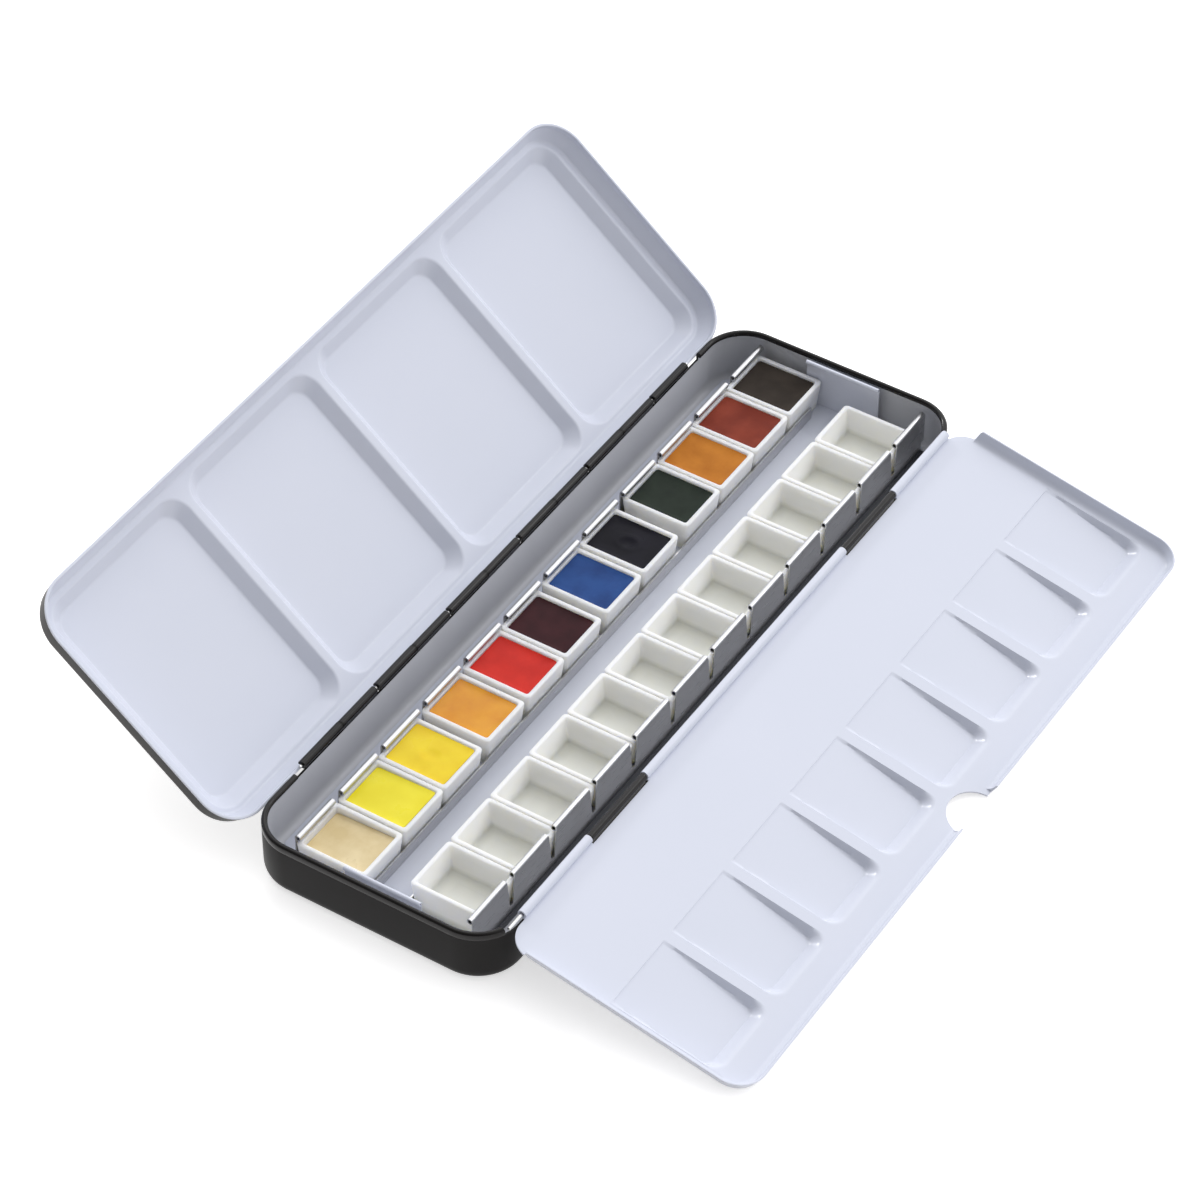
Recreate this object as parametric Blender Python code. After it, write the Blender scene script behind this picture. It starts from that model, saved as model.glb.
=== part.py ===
"""Watercolor pan set: a hinged tin with a mixing leaf, a spring tray and half pans.

Sizes are in millimetres and become metres when a mesh is made, +Z is up.
X runs along the tin, +Y points to the lid hinge, and the tin stands on Z = 0.
The lid is modelled closed and the mixing leaf flat, each about its hinge axis, then turned open.
"""
import math

import bmesh
import bpy
from mathutils import Matrix, Vector

MM = 0.001

# How far a cutting shape reaches past the face that it cuts
CUT_MARGIN = 1.0

# Tin
TIN_LENGTH = 209.6
TIN_WIDTH = 68.0
TIN_HEIGHT = 15.2
TIN_CORNER = 11.5
TIN_WALL = 0.5
TIN_FLOOR = 0.5
TIN_BOTTOM_EDGE = 3.5
TIN_INNER_FILLET = 2.0
BEAD_RADIUS = 0.75
GROOVE_DROP = 2.0
GROOVE_HALF = 0.25
CORNER_STEPS = 6

# Hinges
KNUCKLE_RADIUS = 1.1
TIN_KNUCKLE_RADIUS = 1.0
BORE_RADIUS = 0.65
WIRE_RADIUS = 0.42
KNUCKLE_SIDES = 16
TIN_TONGUE_ROOT = 0.5
JOINT_GAP = 0.3

# Lid hinge
LID_AXIS_Y = 34.2
LID_AXIS_Z = 14.4
LID_OPEN_DEG = 140.4
LID_HINGE_START = -81.6
LID_KNUCKLE = 16.1
LID_TIN_KNUCKLE = 13.8
LID_KNUCKLE_COUNT = 6
LID_KNUCKLE_PLAY = 0.9
LID_GAP_START = -84.6
LID_GAP_END = 88.9
LID_GAP_FLOOR = 12.9

# Leaf hinge
LEAF_AXIS_Y = -33.45
LEAF_AXIS_Z = 14.9
LEAF_SLOPE_DEG = 11.9
LEAF_GAP_START = -98.1
LEAF_GAP_END = 97.0
LEAF_GAP_FLOOR = 13.2
LEAF_KNUCKLES = ((-92.4, -64.9), (-41.9, 46.9), (70.4, 96.3))
LEAF_TIN_KNUCKLES = ((-64.9, -41.9), (46.9, 70.4))
LEAF_WIRE = (-97.4, 96.6)

# Lid
LID_LENGTH = 213.8
LID_FRONT = -69.4
LID_BACK = 0.6
LID_RIM = 1.15
LID_CORNER = 11.0
LID_SHEET = 0.5
LID_LAND_DEPTH = 5.0
LID_EDGE_RADIUS = 2.6
LID_WALL_LEAN = 1.0
LID_TONGUE_FOOT = 0.3
LID_TONGUE_RISE = 1.0
WELL_COUNT = 4
WELL_PITCH = 51.6
WELL_LENGTH = 49.2
WELL_START = 3.6
WELL_END = 65.1
WELL_DEPTH = 3.0
WELL_WALL_RUN = 2.9
WELL_CORNER = 6.0
WELL_CORNER_DRAFT = 0.6
WELL_SKIN = 0.7

# Mixing leaf
LEAF_LENGTH = 203.4
LEAF_START = -0.1
LEAF_SLOT = 1.4
LEAF_TONGUE = 2.4
LEAF_TONGUE_INSET = 0.02
LEAF_END = 65.5
LEAF_CORNER = 7.5
LEAF_SHEET = 0.45
LEAF_RIM_HEIGHT = 3.0
LEAF_RIM_START = 6.5
LEAF_RIM_FLARE = 1.1
LEAF_RIM_STUB = 0.05
SCOOP_COUNT = 8
SCOOP_PITCH = 25.06
SCOOP_WIDTH = 21.8
SCOOP_START = 28.3
SCOOP_END = 57.0
SCOOP_DEPTH = 2.3
SCOOP_CORNER = 3.7
SCOOP_LEAD = 2.5
SCOOP_SIDE_RUN = 1.2
SCOOP_END_RUN = 3.0
SCOOP_RISE = 0.3
SCOOP_UNDERSIDE_DROP = 0.48
NOTCH_RADIUS = 7.0
NOTCH_CENTRE = 65.2
NOTCH_RIM = (-7.4, 8.6)

# Pan tray
TRAY_START = -99.3
TRAY_END = 102.35
TRAY_SHEET = 0.4
TRAY_BOTTOM = 1.2
TRAY_INNER_HALF = 24.15
TRAY_OUTER_HALF = 31.0
TRAY_FLANGE = (-93.0, 97.0)
TAB_COUNT = 12
TAB_START = -97.9
TAB_PITCH = 17.0
TAB_WIDTH = 13.7
TAB_NOTCH_FLOOR = 3.5
TAB_NOTCH_FLOOR_WIDTH = 0.8
TAB_NOTCH_REACH = (-2.0, 1.0)
TAB_CURL_Y = 23.5
TAB_CURL_Z = 11.6
TAB_CURL_RADIUS = 0.65
TAB_SHEET = 0.35
CURL_SWEEP_DEG = 250.0
CURL_STEPS = 9
LIP_Y = 4.52
LIP_TOP = 5.2
LIP_SPAN = (-98.1, 96.4)
FLAP_SPAN = (-11.2, 9.5)
FLAP_NEAR_TOP = 13.4
FLAP_FAR_TOP = 14.8
FLAP_CURL_RADIUS = 0.5

# Half pans and paint
PAN_COUNT = 12
PAN_WIDTH = 15.7
PAN_LENGTH = 17.9
PAN_HEIGHT = 8.4
PAN_WALL = 1.2
PAN_FLOOR = 1.3
PAN_WIDTH_DRAFT = 0.5
PAN_LENGTH_DRAFT = 1.0
PAN_CORNER = 0.8
PAN_OUTER_EDGE = 22.55
PAN_CLEARANCE = 0.3
PAN_STEPS = 3
FRONT_ROW_START = -94.5
FRONT_ROW_GAP = 0.3
BACK_ROW_START = -98.5
BACK_ROW_GAPS = (0.5, 0.3, 2.0, 1.2, 0.4, 2.0, 0.8, 3.5, 0.3, 0.3, 0.4)
CAKE_GAP = 0.28
CAKE_EDGE = 7.0
CAKE_DISH = 0.5
CAKE_RINGS = ((1.0, 0.0), (0.75, 0.6), (0.4, 1.0))

# Colours, roughness and metallic value of each finish
ENAMEL_BLACK = ("#2a2829", 0.30, 0.0)
LACQUER_WHITE = ("#d9dde9", 0.25, 0.0)
TIN_PLATE = ("#8d8d92", 0.35, 0.8)
STEEL = ("#b9bbbe", 0.25, 1.0)
PAN_PLASTIC = ("#efece4", 0.45, 0.0)
PAINT_COLOURS = (
    "#dcc797", "#f2e233", "#f5da2f", "#e0a02e", "#c5332c", "#4a2125",
    "#2c4f8a", "#2f2c3c", "#2c362c", "#c07a30", "#82392a", "#372f2a",
)
PAINT_ROUGHNESS = 0.55


def linear_colour(hex_code):
    """Turn an sRGB hex colour into linear red, green, blue and alpha."""
    channels = []
    for start in (1, 3, 5):
        value = int(hex_code[start:start + 2], 16) / 255.0
        channels.append(value / 12.92 if value <= 0.04045 else ((value + 0.055) / 1.055) ** 2.4)
    return (*channels, 1.0)


def make_material(name, hex_code, roughness, metallic):
    """Make a Principled BSDF material."""
    material = bpy.data.materials.new(name)
    material.use_nodes = True
    shader = material.node_tree.nodes["Principled BSDF"]
    shader.inputs["Base Color"].default_value = linear_colour(hex_code)
    shader.inputs["Roughness"].default_value = roughness
    shader.inputs["Metallic"].default_value = metallic
    return material


def rounded_ring(half_x, half_y, radius, z, centre=(0.0, 0.0), steps=CORNER_STEPS):
    """Return the points of a rounded rectangle, anticlockwise seen from above."""
    points = []
    for quarter, (side_x, side_y) in enumerate(((1, 1), (-1, 1), (-1, -1), (1, -1))):
        corner_x = centre[0] + side_x * (half_x - radius)
        corner_y = centre[1] + side_y * (half_y - radius)
        for step in range(steps + 1):
            angle = math.radians(90.0 * (quarter + step / steps))
            points.append(Vector((corner_x + radius * math.cos(angle), corner_y + radius * math.sin(angle), z)))
    return points


def arc(centre, radius, start_deg, end_deg, steps):
    """Return the points of an arc in a plane, both ends included."""
    points = []
    for step in range(steps + 1):
        angle = math.radians(start_deg + (end_deg - start_deg) * step / steps)
        points.append((centre[0] + radius * math.cos(angle), centre[1] + radius * math.sin(angle)))
    return points


def add_loft(mesh, rings):
    """Add a closed skin over rings of equal point counts, with a cap at each end."""
    loops = [[mesh.verts.new(point) for point in ring] for ring in rings]
    count = len(loops[0])
    for lower, upper in zip(loops, loops[1:]):
        for index in range(count):
            following = (index + 1) % count
            mesh.faces.new((lower[index], lower[following], upper[following], upper[index]))
    mesh.faces.new(reversed(loops[0]))
    mesh.faces.new(loops[-1])


def add_prism_x(mesh, outline, start, end):
    """Add an outline of Y and Z points, extruded along X."""
    add_loft(mesh, [[Vector((x, y, z)) for y, z in outline] for x in (start, end)])


def add_prism_y(mesh, outline, start, end):
    """Add an outline of X and Z points, extruded along Y."""
    add_loft(mesh, [[Vector((x, y, z)) for x, z in outline] for y in (start, end)])


def add_prism_z(mesh, outline, start, end):
    """Add an outline of X and Y points, extruded along Z."""
    add_loft(mesh, [[Vector((x, y, z)) for x, y in outline] for z in (start, end)])


def add_box(mesh, x_span, y_span, z_span):
    """Add a box from its spans along X, Y and Z."""
    outline = ((x_span[0], y_span[0]), (x_span[1], y_span[0]), (x_span[1], y_span[1]), (x_span[0], y_span[1]))
    add_prism_z(mesh, outline, *z_span)


def add_rod(mesh, x_span, y, z, radius):
    """Add a round rod along X."""
    add_prism_x(mesh, arc((y, z), radius, 0.0, 360.0 * (1 - 1 / KNUCKLE_SIDES), KNUCKLE_SIDES - 1), *x_span)


def make_object(name, mesh, material=None):
    """Make an object in metres from a mesh in millimetres, with its faces pointing out."""
    bmesh.ops.recalc_face_normals(mesh, faces=mesh.faces)
    bmesh.ops.scale(mesh, vec=(MM, MM, MM), verts=mesh.verts)
    data = bpy.data.meshes.new(name)
    mesh.to_mesh(data)
    mesh.free()
    if material:
        data.materials.append(material)
    made = bpy.data.objects.new(name, data)
    bpy.context.scene.collection.objects.link(made)
    return made


def combine(target, tool_mesh, operation):
    """Join a tool mesh to the target, or cut it away, and keep the result as the target's mesh."""
    tool = make_object(target.name + "_tool", tool_mesh)
    boolean = target.modifiers.new("Combine", "BOOLEAN")
    boolean.operation = operation
    boolean.object = tool
    evaluated = target.evaluated_get(bpy.context.evaluated_depsgraph_get())
    result = bpy.data.meshes.new_from_object(evaluated)
    result.name = target.name
    target.modifiers.clear()
    target.data = result
    bpy.data.objects.remove(tool)


def shade_round(target):
    """Shade round faces smooth and keep real edges sharp."""
    target.data.shade_smooth()
    target.data.set_sharp_from_angle(angle=math.radians(35.0))


def lid_knuckle_spans():
    """Return the X spans of the lid's knuckles and of the tin's knuckles between them."""
    lid_spans = []
    tin_spans = []
    period = LID_KNUCKLE + LID_TIN_KNUCKLE
    for index in range(LID_KNUCKLE_COUNT):
        start = LID_HINGE_START + index * period
        lid_spans.append((start + LID_KNUCKLE_PLAY, start + LID_KNUCKLE - JOINT_GAP))
        if index < LID_KNUCKLE_COUNT - 1:
            tin_spans.append((start + LID_KNUCKLE, start + period))
    return lid_spans, tin_spans


def trimmed(span):
    """Shorten a knuckle's span by half the joint gap at each end."""
    return span[0] + JOINT_GAP / 2, span[1] - JOINT_GAP / 2


def bore_span(spans):
    """Return the X span of a bore that runs through a row of knuckles and past both ends."""
    return spans[0][0] - CUT_MARGIN, spans[-1][1] + CUT_MARGIN


def tin_profile():
    """Return the tin's section as inset and height, from under the floor to the top of the floor."""
    bead_centre = (BEAD_RADIUS, TIN_HEIGHT - BEAD_RADIUS)
    groove = TIN_HEIGHT - GROOVE_DROP
    fillet_centre = (TIN_WALL + TIN_INNER_FILLET, TIN_FLOOR + TIN_INNER_FILLET)
    profile = arc((TIN_BOTTOM_EDGE, TIN_BOTTOM_EDGE), TIN_BOTTOM_EDGE, 270.0, 180.0, 4)
    profile += [(0.0, groove - GROOVE_HALF), (GROOVE_HALF, groove), (0.0, groove + GROOVE_HALF)]
    profile += arc(bead_centre, BEAD_RADIUS, 180.0, -90.0, 9)
    profile += arc(fillet_centre, TIN_INNER_FILLET, 180.0, 270.0, 3)
    return profile


def build_tin():
    """Build the tin with its curled bead and the knuckles of both hinges."""
    mesh = bmesh.new()
    half_x = TIN_LENGTH / 2
    half_y = TIN_WIDTH / 2
    add_loft(mesh, [
        rounded_ring(half_x - inset, half_y - inset, TIN_CORNER - inset, z) for inset, z in tin_profile()
    ])
    tin = make_object("base_tin", mesh, make_material("tin_enamel", *ENAMEL_BLACK))

    bead_cut = bmesh.new()
    above = TIN_HEIGHT + CUT_MARGIN
    bead_inside = half_y - 2 * BEAD_RADIUS - CUT_MARGIN
    bead_outside = half_y + CUT_MARGIN
    add_box(bead_cut, (LID_GAP_START, LID_GAP_END), (bead_inside, bead_outside), (LID_GAP_FLOOR, above))
    add_box(bead_cut, (LEAF_GAP_START, LEAF_GAP_END), (-bead_outside, -bead_inside), (LEAF_GAP_FLOOR, above))
    combine(tin, bead_cut, "DIFFERENCE")

    tin_spans = [trimmed(span) for span in lid_knuckle_spans()[1]]
    leaf_spans = [trimmed(span) for span in LEAF_TIN_KNUCKLES]
    rods = bmesh.new()
    tongues = bmesh.new()
    for span in tin_spans:
        add_rod(rods, span, LID_AXIS_Y, LID_AXIS_Z, TIN_KNUCKLE_RADIUS)
        add_box(tongues, span, (half_y - TIN_WALL, half_y), (LID_GAP_FLOOR - TIN_TONGUE_ROOT, LID_AXIS_Z))
    for span in leaf_spans:
        add_rod(rods, span, LEAF_AXIS_Y, LEAF_AXIS_Z, TIN_KNUCKLE_RADIUS)
        add_box(tongues, span, (-half_y, -half_y + TIN_WALL), (LEAF_GAP_FLOOR - TIN_TONGUE_ROOT, LEAF_AXIS_Z))
    combine(tin, tongues, "UNION")
    combine(tin, rods, "UNION")

    bores = bmesh.new()
    add_rod(bores, bore_span(tin_spans), LID_AXIS_Y, LID_AXIS_Z, BORE_RADIUS)
    add_rod(bores, bore_span(leaf_spans), LEAF_AXIS_Y, LEAF_AXIS_Z, BORE_RADIUS)
    combine(tin, bores, "DIFFERENCE")
    shade_round(tin)


def lid_well_rings(index, levels):
    """Return one well's rings; each level is its depth under the land and the growth of its outline."""
    centre = ((index - (WELL_COUNT - 1) / 2) * WELL_PITCH, -(WELL_START + WELL_END) / 2)
    rings = []
    for depth, growth in levels:
        inset = WELL_WALL_RUN * depth / WELL_DEPTH - growth
        half_x = WELL_LENGTH / 2 - inset
        half_y = (WELL_END - WELL_START) / 2 - inset
        corner = WELL_CORNER - WELL_CORNER_DRAFT * inset
        rings.append(rounded_ring(half_x, half_y, corner, LID_RIM + LID_LAND_DEPTH + depth, centre))
    return rings


def build_lid():
    """Build the lid closed about its hinge axis, with four mixing wells, then turn it open."""
    outer_depth = LID_LAND_DEPTH + LID_SHEET
    inner_radius = LID_EDGE_RADIUS - LID_SHEET
    edge_inset = LID_WALL_LEAN + LID_EDGE_RADIUS
    outer_centre = (edge_inset, LID_RIM + outer_depth - LID_EDGE_RADIUS)
    inner_centre = (edge_inset, LID_RIM + LID_LAND_DEPTH - inner_radius)
    profile = arc(outer_centre, LID_EDGE_RADIUS, 90.0, 180.0, 4)
    profile += [(0.0, LID_RIM), (LID_SHEET, LID_RIM)]
    profile += arc(inner_centre, inner_radius, 180.0, 90.0, 4)
    centre = (0.0, (LID_FRONT + LID_BACK) / 2)
    half_x = LID_LENGTH / 2
    half_y = (LID_BACK - LID_FRONT) / 2
    mesh = bmesh.new()
    add_loft(mesh, [
        rounded_ring(half_x - inset, half_y - inset, LID_CORNER - inset, z, centre) for inset, z in profile
    ])
    lid = make_object("lid", mesh, make_material("lid_lacquer", *LACQUER_WHITE))

    panels = bmesh.new()
    wells = bmesh.new()
    for index in range(WELL_COUNT):
        boss_levels = ((LID_SHEET / 2, WELL_SKIN), (WELL_DEPTH + LID_SHEET, WELL_SKIN))
        add_loft(panels, lid_well_rings(index, boss_levels))
        add_loft(wells, lid_well_rings(index, ((-LID_SHEET / 2, 0.0), (WELL_DEPTH, 0.0))))
    combine(lid, panels, "UNION")
    combine(lid, wells, "DIFFERENCE")

    lid_spans, tin_spans = lid_knuckle_spans()
    slots = bmesh.new()
    for start, end in tin_spans:
        slot_span = (start - JOINT_GAP, end + LID_KNUCKLE_PLAY)
        slot_top = TIN_KNUCKLE_RADIUS + 2 * JOINT_GAP
        add_box(slots, slot_span, (-CUT_MARGIN, LID_BACK + CUT_MARGIN), (0.0, slot_top))
    combine(lid, slots, "DIFFERENCE")

    tongues = bmesh.new()
    rods = bmesh.new()
    for span in lid_spans:
        add_box(tongues, span, (LID_BACK - LID_SHEET, LID_BACK), (LID_TONGUE_FOOT, LID_RIM + LID_TONGUE_RISE))
        add_rod(rods, span, 0.0, 0.0, KNUCKLE_RADIUS)
    combine(lid, tongues, "UNION")
    combine(lid, rods, "UNION")
    bore = bmesh.new()
    add_rod(bore, bore_span(lid_spans), 0.0, 0.0, BORE_RADIUS)
    combine(lid, bore, "DIFFERENCE")
    lid.location = Vector((0.0, LID_AXIS_Y, LID_AXIS_Z)) * MM
    lid.rotation_euler.x = -math.radians(LID_OPEN_DEG)
    shade_round(lid)


def scoop_rings(index, top, growth, drop):
    """Return the flat top ring and the sloping floor ring of one scoop in the leaf."""
    centre_x = (index - (SCOOP_COUNT - 1) / 2) * SCOOP_PITCH
    start = SCOOP_START - SCOOP_LEAD
    slope = SCOOP_DEPTH / (SCOOP_END - SCOOP_END_RUN - SCOOP_START)
    plate_top = -KNUCKLE_RADIUS + LEAF_SHEET
    outer_centre = (centre_x, -(start + SCOOP_END) / 2)
    top_half_y = (SCOOP_END - start) / 2 + growth
    top_ring = rounded_ring(SCOOP_WIDTH / 2 + growth, top_half_y, SCOOP_CORNER, top, outer_centre, 3)
    floor_end = SCOOP_END - SCOOP_END_RUN
    floor_centre = (centre_x, -(start + floor_end) / 2)
    floor_half_x = SCOOP_WIDTH / 2 - SCOOP_SIDE_RUN + growth
    floor_ring = rounded_ring(floor_half_x, (floor_end - start) / 2 + growth, SCOOP_CORNER, 0.0, floor_centre, 3)
    for point in floor_ring:
        point.z = plate_top - drop - slope * (-point.y - SCOOP_START)
    return [floor_ring, top_ring]


def build_leaf():
    """Build the mixing leaf flat about its hinge axis, then turn it to its slope."""
    bottom = -KNUCKLE_RADIUS
    plate_top = bottom + LEAF_SHEET
    rim_top = plate_top + LEAF_RIM_HEIGHT
    centre = (0.0, -(LEAF_START + LEAF_END) / 2)
    half_x = LEAF_LENGTH / 2
    half_y = (LEAF_END - LEAF_START) / 2
    mesh = bmesh.new()
    levels = (
        (LEAF_RIM_FLARE, bottom), (0.0, rim_top),
        (LEAF_SHEET, rim_top), (LEAF_RIM_FLARE + LEAF_SHEET, plate_top),
    )
    add_loft(mesh, [
        rounded_ring(half_x - inset, half_y - inset, LEAF_CORNER - inset, z, centre) for inset, z in levels
    ])
    leaf = make_object("mixing_leaf", mesh, make_material("leaf_lacquer", *LACQUER_WHITE))

    rim_cut = bmesh.new()
    above = rim_top + CUT_MARGIN
    end_x = half_x + CUT_MARGIN
    stub_top = plate_top + LEAF_RIM_STUB
    rim_foot = -LEAF_END + LEAF_RIM_FLARE + LEAF_SHEET + CUT_MARGIN
    add_box(rim_cut, (-end_x, end_x), (-LEAF_RIM_START, CUT_MARGIN), (stub_top, above))
    add_box(rim_cut, NOTCH_RIM, (-LEAF_END - CUT_MARGIN, rim_foot), (stub_top, above))
    combine(leaf, rim_cut, "DIFFERENCE")
    slots = bmesh.new()
    for start, end in LEAF_TIN_KNUCKLES:
        slot_span = (start - JOINT_GAP, end + JOINT_GAP)
        add_box(slots, slot_span, (-LEAF_SLOT, CUT_MARGIN), (bottom - CUT_MARGIN, above))
    combine(leaf, slots, "DIFFERENCE")

    pockets = bmesh.new()
    scoops = bmesh.new()
    for index in range(SCOOP_COUNT):
        add_loft(pockets, scoop_rings(index, bottom + LEAF_SHEET / 2, LEAF_SHEET, SCOOP_UNDERSIDE_DROP))
        add_loft(scoops, scoop_rings(index, plate_top + SCOOP_RISE, 0.0, 0.0))
    combine(leaf, pockets, "UNION")
    combine(leaf, scoops, "DIFFERENCE")

    notch = bmesh.new()
    notch_outline = arc((0.0, -NOTCH_CENTRE), NOTCH_RADIUS, 0.0, 345.0, 23)
    add_prism_z(notch, notch_outline, bottom - CUT_MARGIN, above)
    combine(leaf, notch, "DIFFERENCE")

    spans = [trimmed(span) for span in LEAF_KNUCKLES]
    tongues = bmesh.new()
    rods = bmesh.new()
    for span in spans:
        add_box(tongues, span, (-LEAF_TONGUE, 0.0), (bottom + LEAF_TONGUE_INSET, plate_top - LEAF_TONGUE_INSET))
        add_rod(rods, span, 0.0, 0.0, KNUCKLE_RADIUS)
    combine(leaf, tongues, "UNION")
    combine(leaf, rods, "UNION")
    bore = bmesh.new()
    add_rod(bore, bore_span(spans), 0.0, 0.0, BORE_RADIUS)
    combine(leaf, bore, "DIFFERENCE")
    leaf.location = Vector((0.0, LEAF_AXIS_Y, LEAF_AXIS_Z)) * MM
    leaf.rotation_euler.x = math.radians(LEAF_SLOPE_DEG)
    shade_round(leaf)


def build_wire(name, span, axis_y, axis_z):
    """Build a hinge wire whose origin lies on its axis."""
    mesh = bmesh.new()
    add_rod(mesh, span, 0.0, 0.0, WIRE_RADIUS)
    wire = make_object(name, mesh, make_material(name + "_steel", *STEEL))
    wire.location = Vector((0.0, axis_y, axis_z)) * MM
    shade_round(wire)


def curled_sheet(face, side, radius, sheet, curl_z, foot):
    """Return the section of an upright sheet whose top is rolled over.

    The sheet's tangent face stands at `face`; the roll lies on its `side`, +1 or -1.
    """
    centre = (face + side * radius, curl_z)
    if side < 0:
        outer = arc(centre, radius, 0.0, CURL_SWEEP_DEG, CURL_STEPS)
        inner = arc(centre, radius - sheet, CURL_SWEEP_DEG, 0.0, CURL_STEPS)
    else:
        outer = arc(centre, radius, 180.0, 180.0 - CURL_SWEEP_DEG, CURL_STEPS)
        inner = arc(centre, radius - sheet, 180.0 - CURL_SWEEP_DEG, 180.0, CURL_STEPS)
    return [(face, foot)] + outer + inner + [(face + side * sheet, foot)]


def build_tray():
    """Build the loose tray: a plate with two rows of sprung tabs, two lips and two end flaps."""
    top = TRAY_BOTTOM + TRAY_SHEET
    foot = TRAY_BOTTOM + TRAY_SHEET / 2
    mesh = bmesh.new()
    outline = (
        (TRAY_END, TRAY_INNER_HALF), (TRAY_FLANGE[1], TRAY_OUTER_HALF),
        (TRAY_FLANGE[0], TRAY_OUTER_HALF), (TRAY_START, TRAY_INNER_HALF),
        (TRAY_START, -TRAY_INNER_HALF), (TRAY_FLANGE[0], -TRAY_OUTER_HALF),
        (TRAY_FLANGE[1], -TRAY_OUTER_HALF), (TRAY_END, -TRAY_INNER_HALF),
    )
    add_prism_z(mesh, outline, TRAY_BOTTOM, top)
    tray = make_object("pan_tray", mesh, make_material("tray_tin_plate", *TIN_PLATE))

    upstands = bmesh.new()
    notches = bmesh.new()
    tab_face = TAB_CURL_Y + TAB_CURL_RADIUS
    tab_end = TAB_START + (TAB_COUNT - 1) * TAB_PITCH + TAB_WIDTH
    above = TAB_CURL_Z + 2 * TAB_CURL_RADIUS
    for side in (1, -1):
        tab_section = curled_sheet(side * tab_face, -side, TAB_CURL_RADIUS, TAB_SHEET, TAB_CURL_Z, foot)
        add_prism_x(upstands, tab_section, TAB_START, tab_end)
        lip_span = sorted((side * LIP_Y, side * (LIP_Y + TRAY_SHEET)))
        add_box(upstands, LIP_SPAN, lip_span, (foot, LIP_TOP))
        notch_span = sorted(side * (tab_face + reach) for reach in TAB_NOTCH_REACH)
        for index in range(TAB_COUNT - 1):
            notch_start = TAB_START + index * TAB_PITCH + TAB_WIDTH
            notch_end = TAB_START + (index + 1) * TAB_PITCH
            middle = (notch_start + notch_end) / 2
            half_floor = TAB_NOTCH_FLOOR_WIDTH / 2
            notch = (
                (middle - half_floor, TAB_NOTCH_FLOOR), (middle + half_floor, TAB_NOTCH_FLOOR),
                (notch_end, above), (notch_start, above),
            )
            add_prism_y(notches, notch, *notch_span)
    near_flap = (TRAY_START + TRAY_SHEET, -1, FLAP_NEAR_TOP)
    far_flap = (TRAY_END - TRAY_SHEET, 1, FLAP_FAR_TOP)
    for face, side, flap_top in (near_flap, far_flap):
        flap_section = curled_sheet(face, side, FLAP_CURL_RADIUS, TAB_SHEET, flap_top - FLAP_CURL_RADIUS, foot)
        add_prism_y(upstands, flap_section, *FLAP_SPAN)
    combine(tray, upstands, "UNION")
    combine(tray, notches, "DIFFERENCE")
    shade_round(tray)


def pan_ring(half_x, half_y, corner, z):
    """Return one ring of a half pan or of the paint in it."""
    return rounded_ring(half_x, half_y, corner, z, steps=PAN_STEPS)


def pan_mesh():
    """Return the mesh of an empty half pan that stands on its origin."""
    half_x = PAN_WIDTH / 2
    half_y = PAN_LENGTH / 2
    foot_x = half_x - PAN_WIDTH_DRAFT
    foot_y = half_y - PAN_LENGTH_DRAFT
    inner_corner = PAN_CORNER - PAN_WALL / 2
    mesh = bmesh.new()
    add_loft(mesh, [
        pan_ring(foot_x, foot_y, PAN_CORNER, 0.0),
        pan_ring(half_x, half_y, PAN_CORNER, PAN_HEIGHT),
        pan_ring(half_x - PAN_WALL, half_y - PAN_WALL, inner_corner, PAN_HEIGHT),
        pan_ring(foot_x - PAN_WALL, foot_y - PAN_WALL, inner_corner, PAN_FLOOR),
    ])
    return mesh


def cake_mesh():
    """Return the mesh of the paint in a half pan, dished on top, in the pan's own frame."""
    half_x = PAN_WIDTH / 2 - PAN_WALL - CAKE_GAP
    half_y = PAN_LENGTH / 2 - PAN_WALL - CAKE_GAP
    corner = PAN_CORNER - PAN_WALL / 2
    base = PAN_FLOOR + CAKE_GAP
    mesh = bmesh.new()
    rings = []
    levels = [(base, 1.0, 0.0)] + [(CAKE_EDGE, share, drop) for share, drop in CAKE_RINGS]
    for z, share, drop in levels:
        draft = 1.0 - z / PAN_HEIGHT
        ring_x = (half_x - PAN_WIDTH_DRAFT * draft) * share
        ring_y = (half_y - PAN_LENGTH_DRAFT * draft) * share
        rings.append(pan_ring(ring_x, ring_y, corner * share, z - CAKE_DISH * drop))
    add_loft(mesh, rings)
    return mesh


def place_pan(pan, near_edge, side):
    """Stand a pan in the front row (side -1) or the back row (side +1)."""
    row_y = PAN_OUTER_EDGE - PAN_LENGTH / 2
    row_z = TRAY_BOTTOM + TRAY_SHEET + PAN_CLEARANCE
    pan.location = Vector((near_edge + PAN_WIDTH / 2, side * row_y, row_z)) * MM


def build_pans():
    """Build the front row of empty pans and the back row of pans that hold paint."""
    plastic = make_material("pan_plastic", *PAN_PLASTIC)
    front_edge = FRONT_ROW_START
    back_edge = BACK_ROW_START
    for index in range(PAN_COUNT):
        number = f"{index + 1:02d}"
        front = make_object("half_pan_front_" + number, pan_mesh(), plastic)
        place_pan(front, front_edge, -1)
        shade_round(front)
        front_edge += PAN_WIDTH + FRONT_ROW_GAP

        back = make_object("half_pan_back_" + number, pan_mesh(), plastic)
        place_pan(back, back_edge, 1)
        shade_round(back)
        if index < PAN_COUNT - 1:
            back_edge += PAN_WIDTH + BACK_ROW_GAPS[index]

        paint = make_material("paint_" + number, PAINT_COLOURS[index], PAINT_ROUGHNESS, 0.0)
        cake = make_object("paint_cake_" + number, cake_mesh(), paint)
        cake.parent = back
        cake.matrix_parent_inverse = Matrix.Identity(4)
        shade_round(cake)


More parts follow.
